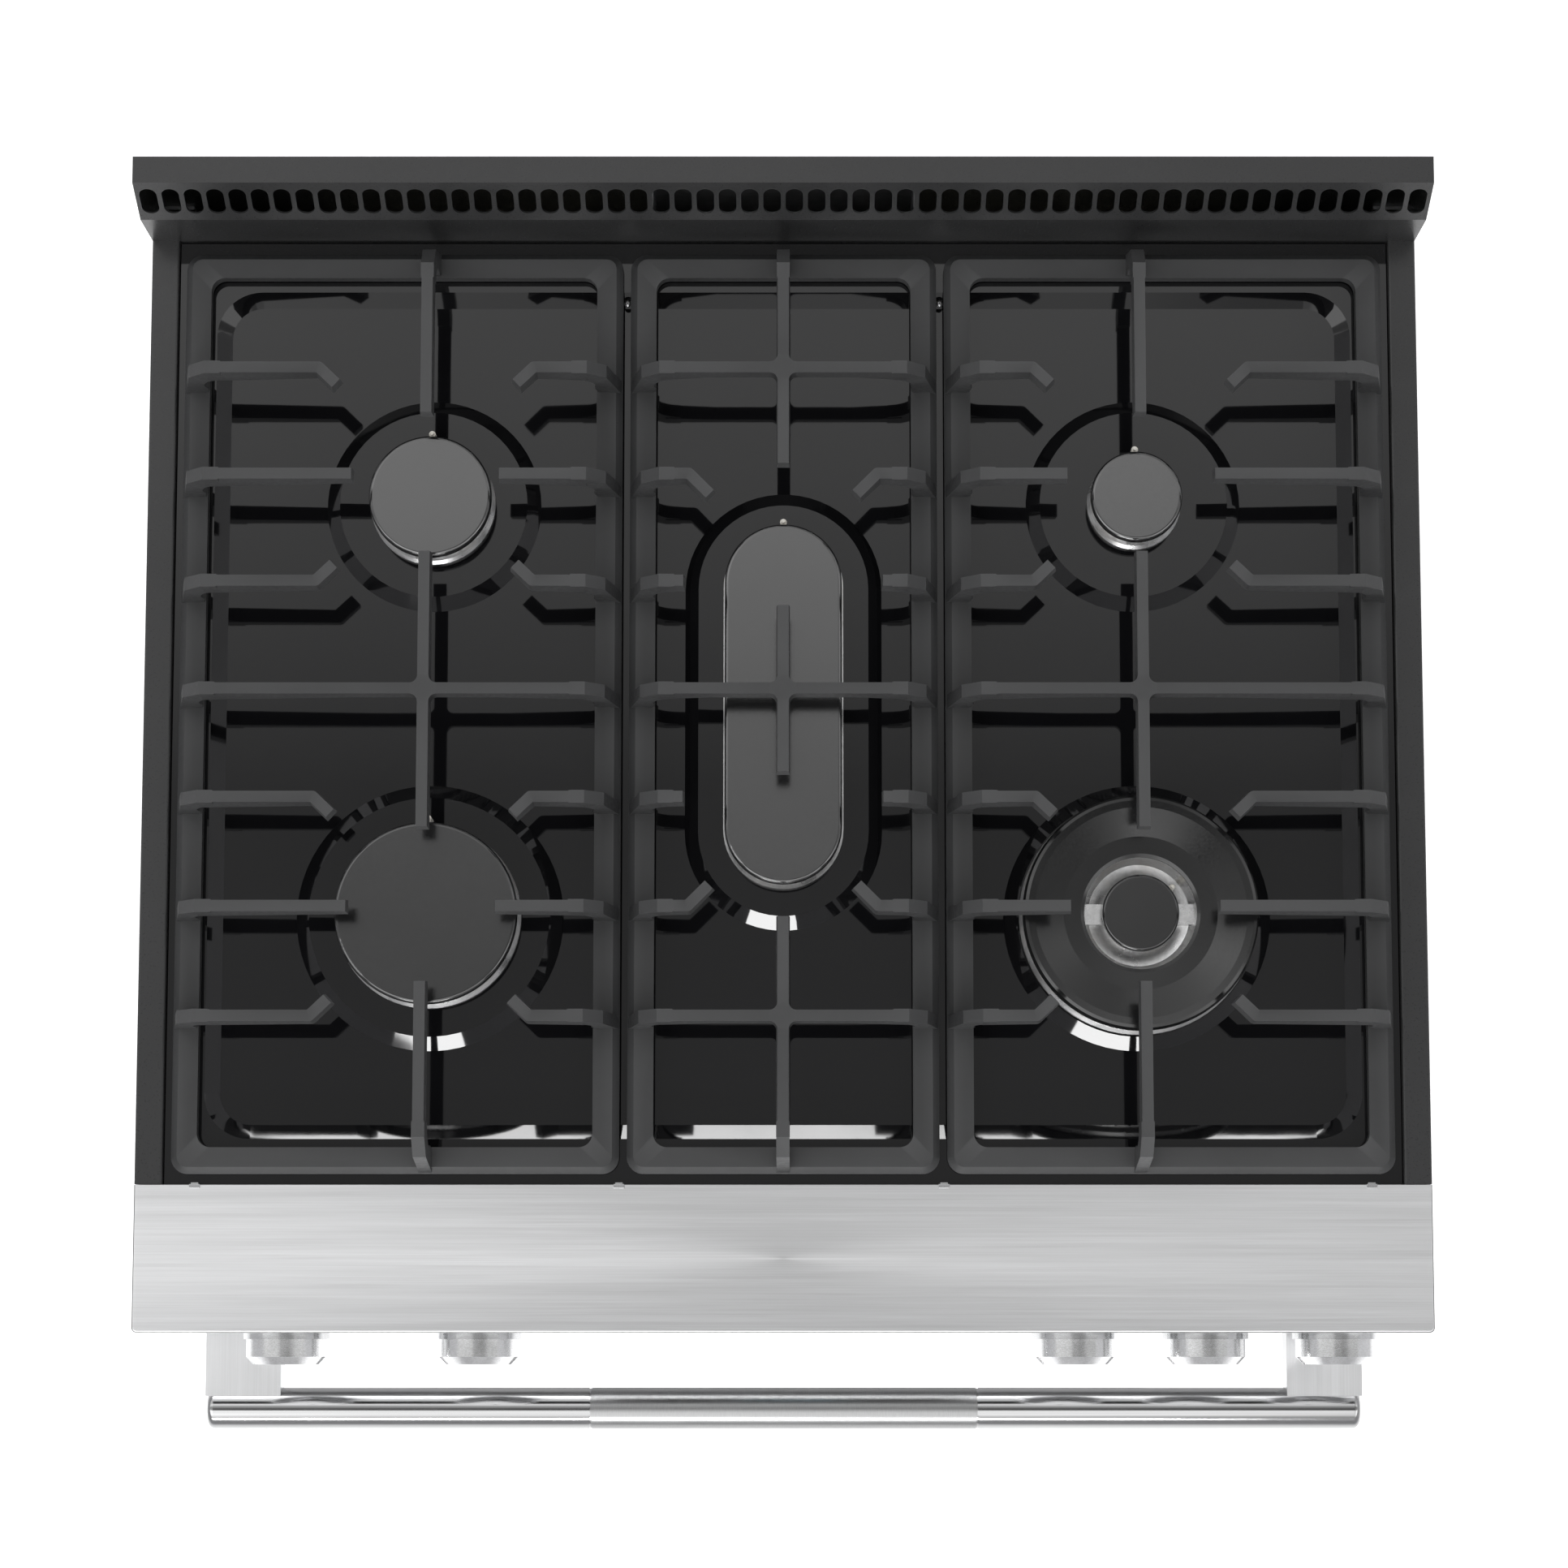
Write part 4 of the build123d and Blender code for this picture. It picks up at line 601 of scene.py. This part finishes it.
def dial_marks():
    """Nine dots round each knob, the first one larger, at the top."""
    y, reach = edge("control_panel", 0, 1) + 0.0002, 0.0315
    marks = bmesh.new()
    for key in KNOBS:
        middle = middle_of("knob_" + key)
        for step in range(9):
            angle = math.radians(90 - 30 * step)
            spot = (middle.x + reach * math.cos(angle), y, middle.z + reach * math.sin(angle))
            size = 0.0011 if step else 0.0016
            dot = [(size, 0.0), (size, 0.0004), (size * 0.7, 0.0006)]
            add_turned(marks, dot, 16, Matrix.Translation(spot) @ FACING_FRONT)
    new_piece("dial_marks", marks, ink("dial_print", 0.05), "body")


def pointers():
    """A dark bar inlaid in the face of each knob."""
    for key in KNOBS:
        knob = "knob_" + key
        middle = middle_of(knob)
        bar = bmesh.new()
        add_box(bar, (middle.x, edge(knob, 0, 1) + 0.0006, middle.z + 0.0118), (0.0013, 0.0008, 0.0135))
        new_piece("pointer_" + key, bar, LOOKS["inlet_plastic"], knob, 0.0002)


def window_border():
    """Printed band with a row of dots inside it, on the back of the oven window's outer pane."""
    low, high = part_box("door_glass")
    wide, tall, middle_z = high.x - low.x, high.z - low.z, (low.z + high.z) / 2
    band, skin, y, dot, dots = 0.034, 0.0004, low.y + 0.0043, 0.003, 58
    border = bmesh.new()
    for z in (low.z + band / 2, high.z - band / 2):
        add_box(border, (0, y, z), (wide, skin, band))
    for x in (low.x + band / 2, high.x - band / 2):
        add_box(border, (x, y, middle_z), (band, skin, tall - 2 * band))
    start = band + 0.004
    for i in range(dots):
        x = low.x + start + i * (wide - 2 * start) / (dots - 1)
        for z in (low.z + start, high.z - start):
            add_box(border, (x, y, z), (dot, skin, dot))
    new_piece("window_border", border, moulded("window_print", 0.006, 0.3), "door")


# ---------------------------------------------------------------- stage, light and camera
def studio_floor():
    """Seamless pale floor that curves up into a wall all round; it glows round the object, painted light that
    washes out the object's shadow, and turns greyer farther out.
    """
    g = Graph(bpy.data.materials.new("studio_pale"))
    place = g.node("ShaderNodeVectorMath", {0: g.coords((1, 1, 0))}, operation="LENGTH").outputs["Value"]
    away = g.ramp(place, 1.1, 4.2)
    paper_white = g.mix(g.ramp(g.noise(1.5), 0.3, 0.7), (0.90, 0.90, 0.90), (0.94, 0.94, 0.94))
    paper = g.finish(
        Base_Color=g.mix(away, paper_white, (0.60, 0.60, 0.61)), Roughness=0.9, Specular_IOR_Level=0.0,
        # the glow is painted light, strongest round the object where its shadow would fall
        Emission_Color=(1, 1, 1, 1), Emission_Strength=g.ramp(place, 1.1, 3.0, 0.5, 0.03),
    )
    disc, flat, bend, top = 0.5, 4.5, 2.5, 5.0
    arc = [math.pi / 2 * i / 12 for i in range(13)]
    curve = [(flat + bend * math.sin(a), bend * (1 - math.cos(a))) for a in arc]
    bowl = bmesh.new()
    add_turned(bowl, [(disc, 0.0), *curve, (flat + bend, top)], 96, lid=False)
    new_object("floor", bowl, paper)


# Brightness of the studio overhead, by angle from the zenith towards the back (positive) or front.
CEILING = (
    (-180, 0.4), (-90, 0.5), (-60, 0.7), (-48, 1.2), (-40, 1.9), (-15, 1.9), (-12, 0.5), (0, 0.42),
    (9.2, 0.5), (9.6, 0.68), (11, 0.85), (13, 1.05), (15, 1.25), (18, 1.3), (30, 0.8), (60, 0.6),
    (90, 0.5), (180, 0.4),
)
BRIGHTEST = 2.0


def studio_light():
    """Soft ceiling with a bright front bank, a rear bank that fades in, and a dark patch overhead."""
    world = bpy.data.worlds.new("studio")
    bpy.context.scene.world = world
    g = Graph(world)
    place = g.node("ShaderNodeTexCoord").outputs["Generated"]
    towards = g.node("ShaderNodeSeparateXYZ", {"Vector": place}).outputs
    back = g.maths("ARCTAN2", towards["Y"], towards["Z"])
    side = g.maths("ARCTAN2", towards["X"], towards["Z"])

    ceiling = g.node("ShaderNodeValToRGB", {"Fac": g.maths("MULTIPLY_ADD", back, 1 / (2 * math.pi), 0.5)})
    stops = ceiling.color_ramp.elements
    for index in (0, -1):
        stops[index].color = [CEILING[index][1] / BRIGHTEST] * 3 + [1]
    for angle, bright in CEILING[1:-1]:
        stops.new((angle + 180) / 360).color = [bright / BRIGHTEST] * 3 + [1]

    def fade(value, start, end, out_start, out_end):
        """Eases from one factor to another between two angles in degrees."""
        return g.ramp(value, math.radians(start), math.radians(end), out_start, out_end, "SMOOTHSTEP")

    patch = g.times(fade(g.maths("ABSOLUTE", side), 11, 14, 1, 0), fade(back, -11, -9, 0, 1))
    patch = g.times(patch, fade(back, -1.5, 0.5, 1, 0))
    sides = g.times(fade(side, -16, -6, 1.35, 1.0), fade(side, 7, 12, 1.0, 0.6))
    sides = g.times(sides, fade(side, 20, 32, 1.0, 1.8))
    light = g.times(g.times(ceiling.outputs["Color"], BRIGHTEST), sides)
    light = g.times(light, g.maths("SUBTRACT", 1.0, g.times(patch, 0.72)))
    background = g.tree.nodes["Background"]
    g.put(background.inputs["Strength"], light)
    g.put(background.inputs["Color"], (1, 1, 1, 1))


def strip_light(name, place, aim, size, power):
    """A long soft strip, seen only in reflections."""
    light = bpy.data.lights.new(name, "AREA")
    light.shape = "RECTANGLE"
    light.size, light.size_y = size
    light.energy = power
    lamp = bpy.data.objects.new(name, light)
    lamp.location = place
    lamp.rotation_euler = (Vector(aim) - Vector(place)).to_track_quat("-Z", "Y").to_euler()
    lamp.visible_camera = False
    bpy.context.collection.objects.link(lamp)


def studio_camera():
    """Looks down on the cooktop from above its front edge."""
    data = bpy.data.cameras.new("camera")
    data.lens, data.sensor_width = 86.3, 36.0
    data.shift_x, data.shift_y = -0.008, 0.09
    data.clip_end = 60
    camera = bpy.data.objects.new("camera", data)
    camera.location = (0.0078, LEDGE_FRONT - 0.0085, 3.114)
    camera.rotation_euler = (0.1119, 0.0, 0.0)
    bpy.context.collection.objects.link(camera)
    bpy.context.scene.camera = camera


for add_pieces in (ledge_tabs, pan_screws, casing_screws, rating_plate, clock_digits, touch_keys, dial_marks,
                   pointers, window_border):
    add_pieces()
studio_floor()
studio_light()
strip_light("front_strip", (-0.6, -4.1, 2.62), (0, 0, 0.9), (2.6, 0.5), 85.0)
strip_light("back_strip", (0.3, 4.1, 2.2), (0, 0, 0.9), (3.0, 0.12), 16.0)
studio_camera()
bpy.context.scene.view_settings.view_transform = "Standard"
